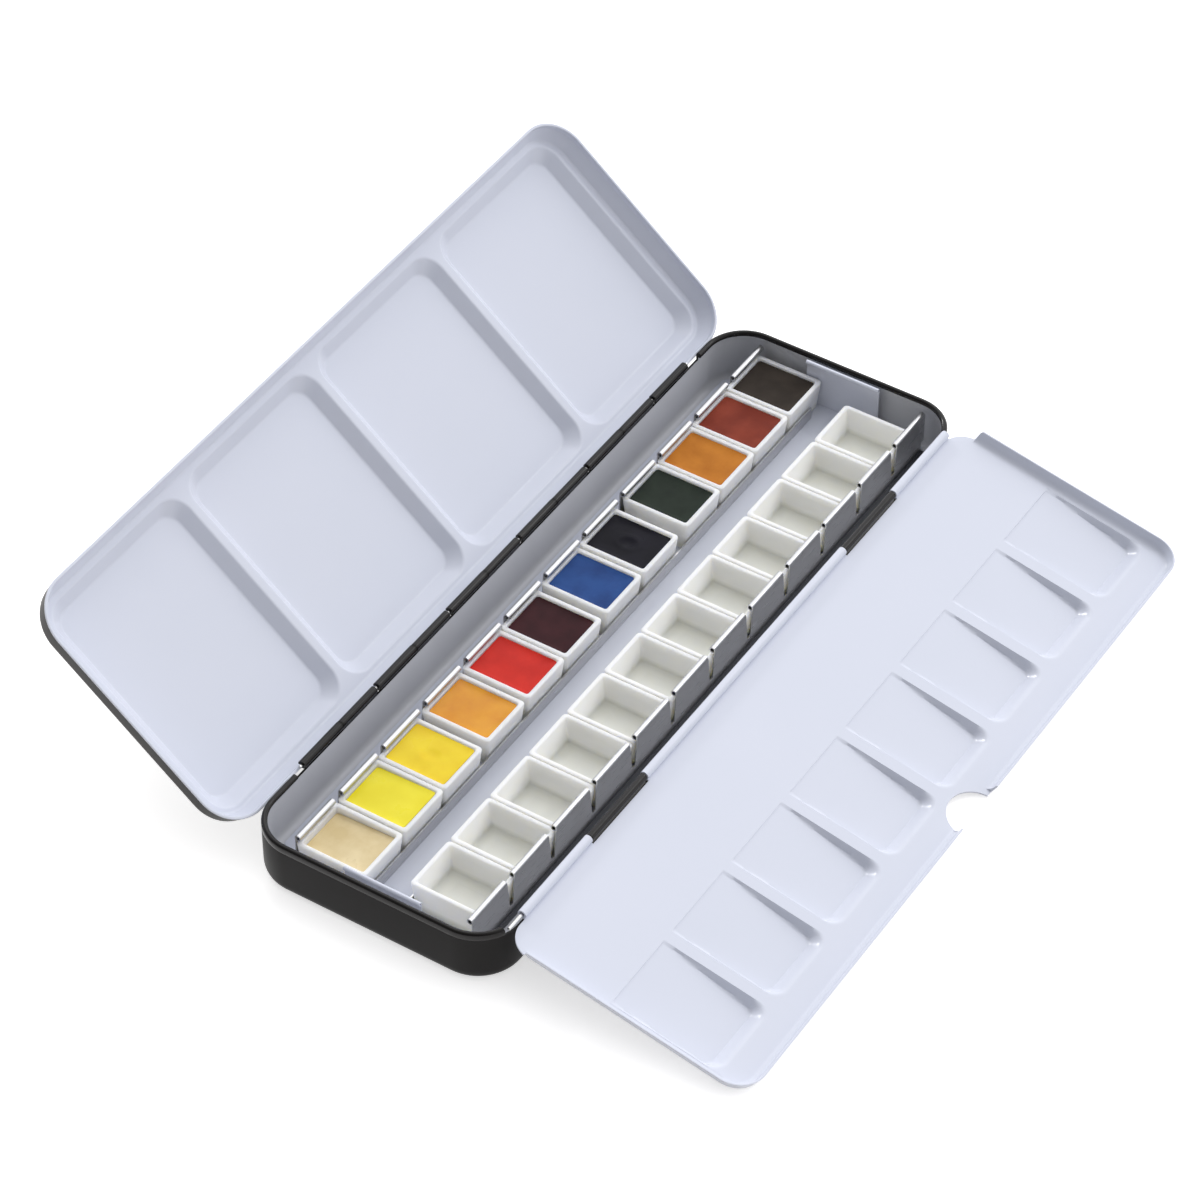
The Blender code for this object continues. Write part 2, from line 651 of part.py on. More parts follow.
def main():
    """Clear the scene and build every piece."""
    for old in list(bpy.data.objects):
        bpy.data.objects.remove(old)
    build_tin()
    build_lid()
    build_leaf()
    lid_spans = lid_knuckle_spans()[0]
    lid_wire = (lid_spans[0][0] - LID_KNUCKLE_PLAY, lid_spans[-1][1] + LID_KNUCKLE_PLAY)
    build_wire("lid_hinge_wire", lid_wire, LID_AXIS_Y, LID_AXIS_Z)
    build_wire("leaf_hinge_wire", LEAF_WIRE, LEAF_AXIS_Y, LEAF_AXIS_Z)
    build_tray()
    build_pans()


main()
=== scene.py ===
"""Watercolor pan set, dressed: smooth pressings, lacquers, moulded pans and dried paint in a studio.

Sizes are in millimetres and become metres when a mesh is made, +Z is up.
X runs along the tin, +Y points to the lid hinge, and the tin stands on Z = 0.
"""

import logging
import math
from dataclasses import dataclass
from enum import Enum
from typing import Callable, Iterable, Sequence

import bpy
from mathutils import Matrix, Vector, noise


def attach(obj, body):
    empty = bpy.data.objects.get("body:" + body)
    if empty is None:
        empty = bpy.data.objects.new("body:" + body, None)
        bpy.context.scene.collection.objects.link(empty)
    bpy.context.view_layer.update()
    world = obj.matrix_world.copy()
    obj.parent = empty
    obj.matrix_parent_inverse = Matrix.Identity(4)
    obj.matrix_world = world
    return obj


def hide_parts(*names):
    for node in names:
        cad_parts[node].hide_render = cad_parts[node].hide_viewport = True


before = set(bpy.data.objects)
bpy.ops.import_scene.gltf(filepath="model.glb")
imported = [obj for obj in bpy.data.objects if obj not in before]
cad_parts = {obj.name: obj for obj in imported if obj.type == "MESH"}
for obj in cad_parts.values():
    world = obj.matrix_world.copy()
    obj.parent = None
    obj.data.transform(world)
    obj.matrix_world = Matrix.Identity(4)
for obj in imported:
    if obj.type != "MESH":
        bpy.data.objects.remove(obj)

MM = 0.001
LOG = logging.getLogger("pan_set")

Point2 = tuple[float, float]
Ring = list[Vector]


class Body(Enum):
    """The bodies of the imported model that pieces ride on."""

    TIN = "tin"
    LID = "lid"
    LEAF = "leaf"
    TRAY = "tray"


class Row(Enum):
    """The two rows of half pans, by the side of the tin that they lean on."""

    FRONT = -1
    BACK = 1


# Small helpers for points and profiles


def linear_colour(hex_code: str) -> tuple[float, float, float, float]:
    """Turn an sRGB hex colour into linear red, green, blue and alpha.

    Args:
        hex_code: the colour, such as "#d9dde9".

    Returns:
        The linear colour with full alpha.
    """
    channels = []
    for start in (1, 3, 5):
        value = int(hex_code[start:start + 2], 16) / 255.0
        channels.append(value / 12.92 if value <= 0.04045 else ((value + 0.055) / 1.055) ** 2.4)
    return (channels[0], channels[1], channels[2], 1.0)


def soften(corners: Sequence[tuple[float, float, float]], steps: int = 6) -> list[Point2]:
    """Round the corners of an open profile.

    Args:
        corners: two coordinates of each corner and how far its rounding reaches along both sides.
        steps: the number of short edges in each rounding.

    Returns:
        The points of the rounded profile.
    """
    points: list[Point2] = []
    for index, (first, second, reach) in enumerate(corners):
        corner = Vector((first, second))
        if reach == 0.0 or index in (0, len(corners) - 1):
            points.append((first, second))
            continue
        before = Vector(corners[index - 1][:2]) - corner
        after = Vector(corners[index + 1][:2]) - corner
        start = corner + before.normalized() * reach
        end = corner + after.normalized() * reach
        for step in range(steps + 1):
            share = step / steps
            place = start.lerp(corner, share).lerp(corner.lerp(end, share), share)
            points.append((place.x, place.y))
    return points


def arc(centre: Point2, radius: float, start_deg: float, end_deg: float, steps: int) -> list[Point2]:
    """Return the points of an arc in a plane, both ends included.

    Args:
        centre: the centre's two coordinates.
        radius: the arc's radius.
        start_deg: the first angle.
        end_deg: the last angle.
        steps: the number of short edges.

    Returns:
        The points along the arc.
    """
    points = []
    for step in range(steps + 1):
        angle = math.radians(start_deg + (end_deg - start_deg) * step / steps)
        points.append((centre[0] + radius * math.cos(angle), centre[1] + radius * math.sin(angle)))
    return points


def rounded_ring(half: Point2, corner: float, z: float, centre: Point2 = (0.0, 0.0), steps: int = 12) -> Ring:
    """Return a rounded rectangle, anticlockwise seen from above.

    Args:
        half: half its size along X and along Y.
        corner: the radius of its corners.
        z: its height.
        centre: its middle.
        steps: the number of short edges in each corner.

    Returns:
        The points of the ring.
    """
    points = []
    for quarter, (side_x, side_y) in enumerate(((1, 1), (-1, 1), (-1, -1), (1, -1))):
        middle = (centre[0] + side_x * (half[0] - corner), centre[1] + side_y * (half[1] - corner))
        for x, y in arc(middle, corner, 90.0 * quarter, 90.0 * (quarter + 1), steps):
            points.append(Vector((x, y, z)))
    return points


def smooth_least(first: float, second: float, blend: float) -> float:
    """Return the smaller of two values, with the change between them rounded over `blend`."""
    share = max(blend - abs(first - second), 0.0) / blend
    return min(first, second) - share * share * blend / 4.0


def inside_distance(gaps: Point2, corner: float) -> float:
    """Return how far a place lies inside a rounded corner.

    Args:
        gaps: the place's distances from the two edges that meet in the corner.
        corner: the corner's radius.

    Returns:
        The distance from the outline, below nought outside it.
    """
    if min(gaps) < corner and max(gaps) < corner:
        return corner - math.hypot(corner - gaps[0], corner - gaps[1])
    return min(gaps)


# Modelling moves, each a few operators


def select_only(pieces: Iterable[bpy.types.Object]) -> None:
    """Select these pieces and nothing else; the first becomes the active one.

    Args:
        pieces: the pieces to select.
    """
    bpy.ops.object.select_all(action="DESELECT")
    for index, piece in enumerate(pieces):
        piece.select_set(True)
        if index == 0:
            bpy.context.view_layer.objects.active = piece


def lay_skin(name: str, rings: Sequence[Ring], wrap: bool = True) -> bpy.types.Object:
    """Lay a grid over rings of points of equal count.

    Args:
        name: the new piece's name.
        rings: the rows of the grid, in millimetres.
        wrap: whether each row closes on itself.

    Returns:
        The skin, open at its first and last row.
    """
    columns = len(rings[0]) + (1 if wrap else 0)
    bpy.ops.object.select_all(action="DESELECT")
    bpy.ops.mesh.primitive_grid_add(x_subdivisions=columns - 1, y_subdivisions=len(rings) - 1, calc_uvs=False)
    piece = bpy.context.object
    piece.name = name
    piece.data.name = name
    places = []
    for ring in rings:
        for index in range(columns):
            places.extend(ring[index % len(ring)] * MM)
    piece.matrix_world = Matrix.Identity(4)
    piece.data.vertices.foreach_set("co", places)
    piece.data.update()
    weld(piece)
    return piece


def weld(piece: bpy.types.Object) -> None:
    """Merge the points of a piece that lie on each other.

    Args:
        piece: the piece.
    """
    select_only([piece])
    bpy.ops.object.mode_set(mode="EDIT")
    bpy.ops.mesh.select_all(action="SELECT")
    bpy.ops.mesh.remove_doubles(threshold=0.0005 * MM)
    bpy.ops.object.mode_set(mode="OBJECT")


def join_pieces(name: str, pieces: Sequence[bpy.types.Object]) -> bpy.types.Object:
    """Join pieces into one, merge their common edges and give it a name.

    Args:
        name: the joined piece's name.
        pieces: the pieces to join.

    Returns:
        The joined piece.
    """
    select_only(pieces)
    if len(pieces) > 1:
        bpy.ops.object.join()
    made = bpy.context.object
    made.name = name
    made.data.name = name
    weld(made)
    return made


def fill_level(piece: bpy.types.Object, z: float) -> None:
    """Close the open edges of a piece that lie at one height, around any holes.

    Args:
        piece: the piece.
        z: the height in millimetres.
    """
    select_only([piece])
    bpy.ops.object.mode_set(mode="EDIT")
    bpy.ops.mesh.select_mode(type="VERT")
    bpy.ops.mesh.select_all(action="DESELECT")
    bpy.ops.mesh.select_non_manifold(
        use_wire=False, use_multi_face=False, use_non_contiguous=False, use_verts=False)
    bpy.ops.object.mode_set(mode="OBJECT")
    for vertex in piece.data.vertices:
        vertex.select = vertex.select and abs(vertex.co.z - z * MM) < 0.002 * MM
    for edge in piece.data.edges:
        edge.select = edge.select and all(piece.data.vertices[index].select for index in edge.vertices)
    bpy.ops.object.mode_set(mode="EDIT")
    bpy.ops.mesh.fill(use_beauty=True)
    bpy.ops.object.mode_set(mode="OBJECT")


def close_ends(piece: bpy.types.Object) -> None:
    """Close every open edge loop of a piece with a face of its own.

    Args:
        piece: the piece.
    """
    select_only([piece])
    bpy.ops.object.mode_set(mode="EDIT")
    bpy.ops.mesh.select_mode(type="VERT")
    bpy.ops.mesh.select_all(action="SELECT")
    bpy.ops.mesh.fill_holes(sides=0)
    bpy.ops.object.mode_set(mode="OBJECT")


def face_outwards(piece: bpy.types.Object) -> None:
    """Turn every face of a closed piece outwards.

    Args:
        piece: the closed piece.
    """
    select_only([piece])
    bpy.ops.object.mode_set(mode="EDIT")
    bpy.ops.mesh.select_all(action="SELECT")
    bpy.ops.mesh.normals_make_consistent(inside=False)
    bpy.ops.object.mode_set(mode="OBJECT")


def apply_modifier(piece: bpy.types.Object, kind: str, **settings: object) -> None:
    """Add a modifier with its settings and apply it at once.

    Args:
        piece: the piece.
        kind: the modifier's type.
        settings: the modifier's settings.
    """
    select_only([piece])
    modifier = piece.modifiers.new(kind.title(), kind)
    for name, value in settings.items():
        setattr(modifier, name, value)
    bpy.ops.object.modifier_apply(modifier=modifier.name)


def cut_away(piece: bpy.types.Object, tools: Sequence[bpy.types.Object]) -> None:
    """Cut the shapes of some tools out of a piece and remove the tools.

    Args:
        piece: the piece.
        tools: the shapes to cut with.
    """
    for tool in tools:
        apply_modifier(piece, "BOOLEAN", operation="DIFFERENCE", object=tool, solver="EXACT")
        bpy.data.objects.remove(tool)


def box_tool(x_span: Point2, y_span: Point2, z_span: Point2) -> bpy.types.Object:
    """Add a box to cut with, from its spans in millimetres.

    Args:
        x_span: its start and end along X.
        y_span: its start and end along Y.
        z_span: its start and end along Z.

    Returns:
        The box.
    """
    bpy.ops.object.select_all(action="DESELECT")
    bpy.ops.mesh.primitive_cube_add(size=1.0)
    tool = bpy.context.object
    tool.location = Vector([sum(span) / 2 for span in (x_span, y_span, z_span)]) * MM
    tool.scale = Vector([span[1] - span[0] for span in (x_span, y_span, z_span)]) * MM
    bpy.ops.object.transform_apply(location=True, rotation=True, scale=True)
    return tool


def copy_piece(piece: bpy.types.Object, name: str) -> bpy.types.Object:
    """Copy a piece with a mesh of its own.

    Args:
        piece: the piece.
        name: the copy's name.

    Returns:
        The copy.
    """
    copy = piece.copy()
    copy.data = piece.data.copy()
    copy.name = name
    copy.data.name = name
    bpy.context.scene.collection.objects.link(copy)
    return copy


def bend_strip(
    name: str,
    path: Sequence[Point2],
    span: Callable[[float, float], Point2],
    thickness: float,
    columns: int = 1,
    along: str = "X",
) -> bpy.types.Object:
    """Bend a strip of sheet along a path and give it its thickness.

    Args:
        name: the strip's name.
        path: the middle of the sheet, across the strip's length and up.
        span: gives where the strip starts and ends at a point of the path.
        thickness: the sheet's thickness.
        columns: the number of faces along the strip.
        along: the strip's length runs along "X" or "Y".

    Returns:
        The closed strip: one face in material slot 0, its cut edges in slot 1, its other face in slot 2.
    """
    rings = []
    for across, z in path:
        start, end = span(across, z)
        row = []
        for column in range(columns + 1):
            length = start + (end - start) * column / columns
            row.append(Vector((length, across, z) if along == "X" else (across, length, z)))
        rings.append(row)
    strip = lay_skin(name, rings, wrap=False)
    apply_modifier(
        strip, "SOLIDIFY", thickness=thickness * MM, offset=0.0, use_even_offset=True,
        material_offset=2, material_offset_rim=1)
    face_outwards(strip)
    return strip


def finish_piece(
    piece: bpy.types.Object,
    body: str,
    place: Matrix | None = None,
    nodes: Sequence[str] = (),
    angle_deg: float = 38.0,
) -> bpy.types.Object:
    """Put a piece in its place, shade it and let it ride on its body.

    Args:
        piece: the piece, modelled in its own frame.
        body: the name of the body that carries it.
        place: where its frame stands in the part.
        nodes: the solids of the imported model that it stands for.
        angle_deg: edges sharper than this stay crisp.

    Returns:
        The finished piece.
    """
    select_only([piece])
    if place is not None:
        piece.matrix_world = place
        bpy.ops.object.transform_apply(location=True, rotation=True, scale=True)
    bpy.ops.object.shade_smooth_by_angle(angle=math.radians(angle_deg))
    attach(piece, body)
    if nodes:
        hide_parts(*nodes)
    LOG.info("%s rides on %s, %d faces", piece.name, body, len(piece.data.polygons))
    return piece


# Finishes


def add_node(
    tree: bpy.types.NodeTree,
    kind: str,
    settings: dict[str, object] | None = None,
    inputs: dict[str | int, object] | None = None,
) -> bpy.types.Node:
    """Add a shader node, set it up and link it.

    Args:
        tree: the material's node tree.
        kind: the node's type name.
        settings: values of the node's own properties.
        inputs: a value, or an output socket to link from, for each named input.

    Returns:
        The node.
    """
    node = tree.nodes.new(kind)
    for name, value in (settings or {}).items():
        setattr(node, name, value)
    for name, value in (inputs or {}).items():
        if isinstance(value, bpy.types.NodeSocket):
            tree.links.new(value, node.inputs[name])
        else:
            node.inputs[name].default_value = value
    return node


def start_material(name: str) -> tuple[bpy.types.Material, bpy.types.NodeTree, bpy.types.Node]:
    """Make a material and return it with its node tree and its Principled shader.

    Args:
        name: the material's name.

    Returns:
        The material, its node tree and its shader.
    """
    material = bpy.data.materials.new(name)
    material.use_nodes = True
    tree = material.node_tree
    return material, tree, tree.nodes["Principled BSDF"]


def per_metre(size_mm: float) -> float:
    """Return the noise scale whose features are about this many millimetres wide."""
    return 1.0 / (size_mm * MM)


@dataclass(frozen=True)
class StovedLacquer:
    """Lacquer rolled on tin plate and baked: a hard even gloss with a faint orange peel."""

    name: str
    colour: str
    shade: str
    roughness: float
    gloss: float = 0.5
    peel_mm: float = 1.6
    peel_depth_mm: float = 0.006
    tone_mm: float = 26.0

    def make(self) -> bpy.types.Material:
        """Build the lacquer's material.

        Returns:
            The material.
        """
        material, tree, shader = start_material(self.name)
        place = add_node(tree, "ShaderNodeTexCoord").outputs["Object"]
        tone = add_node(tree, "ShaderNodeTexNoise", inputs={
            "Vector": place, "Scale": per_metre(self.tone_mm), "Detail": 2.0})
        colour = add_node(tree, "ShaderNodeMix", {"data_type": "RGBA"}, {
            "Factor": tone.outputs["Fac"], 6: linear_colour(self.colour), 7: linear_colour(self.shade)})
        peel = add_node(tree, "ShaderNodeTexNoise", inputs={
            "Vector": place, "Scale": per_metre(self.peel_mm), "Detail": 1.0})
        bump = add_node(tree, "ShaderNodeBump", inputs={
            "Height": peel.outputs["Fac"], "Distance": self.peel_depth_mm * MM, "Strength": 1.0})
        gloss = add_node(tree, "ShaderNodeMapRange", inputs={
            "Value": tone.outputs["Fac"], "To Min": self.roughness - 0.03, "To Max": self.roughness + 0.04})
        tree.links.new(colour.outputs[2], shader.inputs["Base Color"])
        tree.links.new(gloss.outputs["Result"], shader.inputs["Roughness"])
        tree.links.new(bump.outputs["Normal"], shader.inputs["Normal"])
        shader.inputs["IOR"].default_value = 1.5
        shader.inputs["Specular IOR Level"].default_value = self.gloss
        return material


@dataclass(frozen=True)
class RolledTinPlate:
    """Bare tin plate from the rolling mill: a satin metal with fine grain along the sheet."""

    name: str
    colour: str
    roughness: float
    grain_mm: float = 0.35
    stretch: float = 0.06

    def make(self) -> bpy.types.Material:
        """Build the sheet's material.

        Returns:
            The material.
        """
        material, tree, shader = start_material(self.name)
        place = add_node(tree, "ShaderNodeTexCoord").outputs["Object"]
        along = add_node(tree, "ShaderNodeMapping", inputs={
            "Vector": place, "Scale": (self.stretch, 1.0, 1.0)})
        grain = add_node(tree, "ShaderNodeTexNoise", inputs={
            "Vector": along.outputs["Vector"], "Scale": per_metre(self.grain_mm), "Detail": 3.0})
        gloss = add_node(tree, "ShaderNodeMapRange", inputs={
            "Value": grain.outputs["Fac"], "To Min": self.roughness - 0.1, "To Max": self.roughness + 0.1})
        bump = add_node(tree, "ShaderNodeBump", inputs={
            "Height": grain.outputs["Fac"], "Distance": 0.004 * MM, "Strength": 0.6})
        shader.inputs["Base Color"].default_value = linear_colour(self.colour)
        shader.inputs["Metallic"].default_value = 1.0
        tree.links.new(gloss.outputs["Result"], shader.inputs["Roughness"])
        tree.links.new(bump.outputs["Normal"], shader.inputs["Normal"])
        return material


@dataclass(frozen=True)
class MouldedPlastic:
    """Injection-moulded polystyrene: warm white and slightly translucent, with painted shade that makes it
    greyer towards its floor.
    """

    name: str
    colour: str
    floor_shade_colour: str
    roughness: float
    shade_span_mm: Point2 = (3.15, 4.6)
    grain_mm: float = 0.5
    glow_mm: float = 3.0

    def make(self) -> bpy.types.Material:
        """Build the plastic's material.

        Returns:
            The material.
        """
        material, tree, shader = start_material(self.name)
        place = add_node(tree, "ShaderNodeTexCoord").outputs["Object"]
        grain = add_node(tree, "ShaderNodeTexNoise", inputs={
            "Vector": place, "Scale": per_metre(self.grain_mm), "Detail": 2.0})
        gloss = add_node(tree, "ShaderNodeMapRange", inputs={
            "Value": grain.outputs["Fac"], "To Min": self.roughness - 0.06, "To Max": self.roughness + 0.06})
        bump = add_node(tree, "ShaderNodeBump", inputs={
            "Height": grain.outputs["Fac"], "Distance": 0.006 * MM, "Strength": 0.5})
        # Painted shade: low in the pan the colour turns to the greyer floor colour, as if the floor lay in the
        # walls' shade
        height = add_node(tree, "ShaderNodeSeparateXYZ", inputs={"Vector": place})
        rise = add_node(tree, "ShaderNodeMapRange", inputs={
            "Value": height.outputs["Z"],
            "From Min": self.shade_span_mm[0] * MM, "From Max": self.shade_span_mm[1] * MM})
        colour = add_node(tree, "ShaderNodeMix", {"data_type": "RGBA"}, {
            "Factor": rise.outputs["Result"],
            6: linear_colour(self.floor_shade_colour), 7: linear_colour(self.colour)})
        tree.links.new(colour.outputs[2], shader.inputs["Base Color"])
        tree.links.new(gloss.outputs["Result"], shader.inputs["Roughness"])
        tree.links.new(bump.outputs["Normal"], shader.inputs["Normal"])
        shader.inputs["IOR"].default_value = 1.53
        shader.inputs["Subsurface Weight"].default_value = 0.9
        shader.inputs["Subsurface Radius"].default_value = (1.0, 0.95, 0.8)
        shader.inputs["Subsurface Scale"].default_value = self.glow_mm * MM
        return material


@dataclass(frozen=True)
class DriedPaint:
    """Watercolour poured wet and dried: strong pigment, a gum-arabic gloss and a fine skin of ripples."""

    name: str
    colour: str
    shade: str
    roughness: float
    gloss: float
    ripple_mm: float = 1.8
    ripple_depth_mm: float = 0.03

    def make(self) -> bpy.types.Material:
        """Build the paint's material.

        Returns:
            The material.
        """
        material, tree, shader = start_material(self.name)
        place = add_node(tree, "ShaderNodeTexCoord").outputs["Object"]
        cloud = add_node(tree, "ShaderNodeTexNoise", inputs={
            "Vector": place, "Scale": per_metre(7.0), "Detail": 4.0})
        spread = add_node(tree, "ShaderNodeMapRange", inputs={
            "Value": cloud.outputs["Fac"], "From Min": 0.35, "From Max": 0.65})
        colour = add_node(tree, "ShaderNodeMix", {"data_type": "RGBA"}, {
            "Factor": spread.outputs["Result"], 6: linear_colour(self.colour), 7: linear_colour(self.shade)})
        ripple = add_node(tree, "ShaderNodeTexNoise", inputs={
            "Vector": place, "Scale": per_metre(self.ripple_mm), "Detail": 3.0})
        bump = add_node(tree, "ShaderNodeBump", inputs={
            "Height": ripple.outputs["Fac"], "Distance": self.ripple_depth_mm * MM, "Strength": 0.6})
        gloss = add_node(tree, "ShaderNodeMapRange", inputs={
            "Value": cloud.outputs["Fac"], "To Min": self.roughness - 0.08, "To Max": self.roughness + 0.1})
        tree.links.new(colour.outputs[2], shader.inputs["Base Color"])
        tree.links.new(gloss.outputs["Result"], shader.inputs["Roughness"])
        tree.links.new(bump.outputs["Normal"], shader.inputs["Normal"])
        shader.inputs["IOR"].default_value = 1.48
        shader.inputs["Specular IOR Level"].default_value = self.gloss
        return material


@dataclass(frozen=True)
class Finishes:
    """The finishes that several pieces share, made once."""

    white: bpy.types.Material
    black: bpy.types.Material
    rolled_black: bpy.types.Material
    grey: bpy.types.Material
    plate: bpy.types.Material
    raw_edge: bpy.types.Material
    slate: bpy.types.Material
    wire: bpy.types.Material
    plastic: bpy.types.Material

    @classmethod
    def mix(cls) -> "Finishes":
        """Make every shared finish.

        Returns:
            The finishes.
        """
        return cls(
            # White lacquer inside lid and leaf: a cool white with a soft even gloss
            white=StovedLacquer("white_stoving_lacquer", "#dbdeea", "#d7dbe7", 0.24, 0.4).make(),
            # Black enamel on the tin's flat sides: deep and nearly matt
            black=StovedLacquer("black_stoving_enamel", "#171515", "#1c1a19", 0.4, 0.16).make(),
            # The same enamel stretched over rolls and bead: darker, with narrow highlights
            rolled_black=StovedLacquer("black_enamel_on_rolls", "#0e0c0b", "#15110f", 0.2, 0.28).make(),
            # Lining lacquer inside the tin: a satin grey
            grey=StovedLacquer("grey_lining_lacquer", "#d2d3d7", "#cbccd1", 0.35, 0.4).make(),
            # Bare tin plate of the tray: satin metal with fine grain along the sheet
            plate=RolledTinPlate("rolled_tin_plate", "#c4c4c5", 0.3).make(),
            # Warm tan on the sheared edges as a painted reflection: a thin warm line
            raw_edge=StovedLacquer("painted_warm_edge_reflection", "#d9b468", "#cda75b", 0.5, 0.3).make(),
            # Painted shade on the tray's front foot: a dull dark grey, so that the trough reads deep and
            # shadowed
            slate=StovedLacquer("slate_grey_lacquer", "#55565b", "#4f5055", 0.45, 0.2).make(),
            # Drawn steel wire: bright where it shows between the knuckles
            wire=RolledTinPlate("drawn_steel_wire", "#d3d3d2", 0.2).make(),
            # Moulded polystyrene of the pans: warm white that glows a little at thin walls, with painted shade
            # that greys it low down
            plastic=MouldedPlastic("moulded_white_polystyrene", "#fdfbf4", "#e6e6dc", 0.35).make(),
        )


# Sub-assemblies


@dataclass
class HingeWires:
    """The two bright wires on which the lid and the leaf swing."""

    names: tuple[str, ...] = ("lid_hinge_wire", "leaf_hinge_wire")

    def dress(self, finishes: Finishes) -> None:
        """Give both wires their drawn steel.

        Args:
            finishes: the shared finishes.
        """
        for name in self.names:
            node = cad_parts[name]
            node.data.materials.clear()
            node.data.materials.append(finishes.wire)


@dataclass
class Tin:
    """The black tin with its curled bead, and the tin's knuckles of both hinges."""

    length: float = 209.6
    width: float = 68.0
    height: float = 15.2
    corner: float = 11.5
    wall: float = 0.5
    floor: float = 0.5
    bottom_edge: float = 3.2
    inner_fillet: float = 2.2
    flat_margin: float = 1.5
    bead: float = 0.75
    bead_turn: Point2 = (180.0, -60.0)
    bead_tuck: Point2 = (0.12, 0.05)
    bead_tail: float = 1.0
    groove_drop: float = 2.0
    groove_half: float = 0.2
    groove_depth: float = 0.07
    lid_gap: Point2 = (-84.6, 88.9)
    lid_gap_floor: float = 12.9
    leaf_gap: Point2 = (-98.1, 97.0)
    leaf_gap_floor: float = 13.2
    lid_axis: Point2 = (34.2, 14.4)
    leaf_axis: Point2 = (-33.45, 14.9)
    knuckle: float = 0.76
    knuckle_sweep: float = 285.0
    knuckle_root: float = 0.4
    knuckle_sheet: float = 0.46
    lid_knuckle_start: float = -65.5
    lid_knuckle_length: float = 13.8
    lid_knuckle_period: float = 29.9
    lid_knuckle_count: int = 5
    leaf_knuckles: tuple[Point2, ...] = ((-64.9, -41.9), (46.9, 70.4))
    knuckle_play: float = 0.15

    def profile(self) -> tuple[list[Point2], int]:
        """Return the tin's section as inset and height, and where its inside starts.

        Returns:
            The points of the section and the index of the first point inside.
        """
        groove = self.height - self.groove_drop
        crest = (self.bead, self.height - self.bead)
        flat = self.bottom_edge + self.flat_margin
        outside = soften((
            (flat, 0.0, 0.0), (0.0, 0.0, self.bottom_edge), (0.0, groove - self.groove_half, 0.0)), 10)
        outside += [(self.groove_depth, groove), (0.0, groove + self.groove_half)]
        outside += arc(crest, self.bead, *self.bead_turn, 18)
        inside = [(self.wall + self.bead_tuck[0], crest[1] - self.bead + self.bead_tuck[1])]
        inside += soften((
            (self.wall, groove - self.bead_tail, 0.0), (self.wall, self.floor, self.inner_fillet),
            (flat, self.floor, 0.0)), 8)
        return outside + inside, len(outside)

    def build(self, finishes: Finishes) -> None:
        """Model the pressing and its knuckles.

        Args:
            finishes: the shared finishes.
        """
        profile, inside = self.profile()
        half = (self.length / 2, self.width / 2)
        rings = [
            rounded_ring((half[0] - inset, half[1] - inset), self.corner - inset, z, steps=16)
            for inset, z in profile
        ]
        outer = lay_skin("tin_outside", rings[:inside + 1])
        fill_level(outer, 0.0)
        outer.data.materials.append(finishes.black)
        outer.data.materials.append(finishes.rolled_black)
        for face in outer.data.polygons:
            face.material_index = 1 if face.center.z > (self.height - self.groove_drop) * MM else 0
        inner = lay_skin("tin_inside", rings[inside:])
        fill_level(inner, self.floor)
        inner.data.materials.append(finishes.grey)
        tin = join_pieces("tin_pressing", [outer, inner])
        face_outwards(tin)
        above = self.height + 1.0
        reach = 2 * self.bead + 1.0
        cut_away(tin, [
            box_tool(self.lid_gap, (half[1] - reach, half[1] + 1.0), (self.lid_gap_floor, above)),
            box_tool(self.leaf_gap, (-half[1] - 1.0, -half[1] + reach), (self.leaf_gap_floor, above)),
        ])
        finish_piece(tin, Body.TIN.value, nodes=["base_tin"])
        self.build_knuckles(finishes)

    def knuckle_path(self, axis: Point2, side: int, foot: float) -> list[Point2]:
        """Return the middle line of a knuckle: up the wall and round the wire.

        Args:
            axis: the wire's place across the tin and up.
            side: +1 for the lid's side of the tin, -1 for the leaf's.
            foot: the height where the strip leaves the wall.

        Returns:
            The points of the path.
        """
        wall = side * (self.width / 2 - self.wall / 2)
        offset = max(-1.0, min(1.0, (wall - axis[0]) / self.knuckle))
        start = -math.degrees(math.acos(offset)) % 360.0
        return [(wall, foot)] + arc(axis, self.knuckle, start, start - self.knuckle_sweep, 24)

    def build_knuckles(self, finishes: Finishes) -> None:
        """Roll the tin's knuckles round both wires.

        Args:
            finishes: the shared finishes.
        """
        spans = []
        for index in range(self.lid_knuckle_count):
            start = self.lid_knuckle_start + index * self.lid_knuckle_period
            spans.append(("tin_lid_knuckle", index, self.lid_axis, 1, (start, start + self.lid_knuckle_length)))
        for index, span in enumerate(self.leaf_knuckles):
            spans.append(("tin_leaf_knuckle", index, self.leaf_axis, -1, span))
        for name, index, axis, side, span in spans:
            foot = (self.lid_gap_floor if side > 0 else self.leaf_gap_floor) - self.knuckle_root
            ends = (span[0] + self.knuckle_play, span[1] - self.knuckle_play)
            path = self.knuckle_path(axis, side, foot)
            roll = bend_strip(f"{name}_{index + 1}", path, lambda across, z: ends, self.knuckle_sheet)
            for finish in (finishes.rolled_black, finishes.plate, finishes.rolled_black):
                roll.data.materials.append(finish)
            finish_piece(roll, Body.TIN.value)


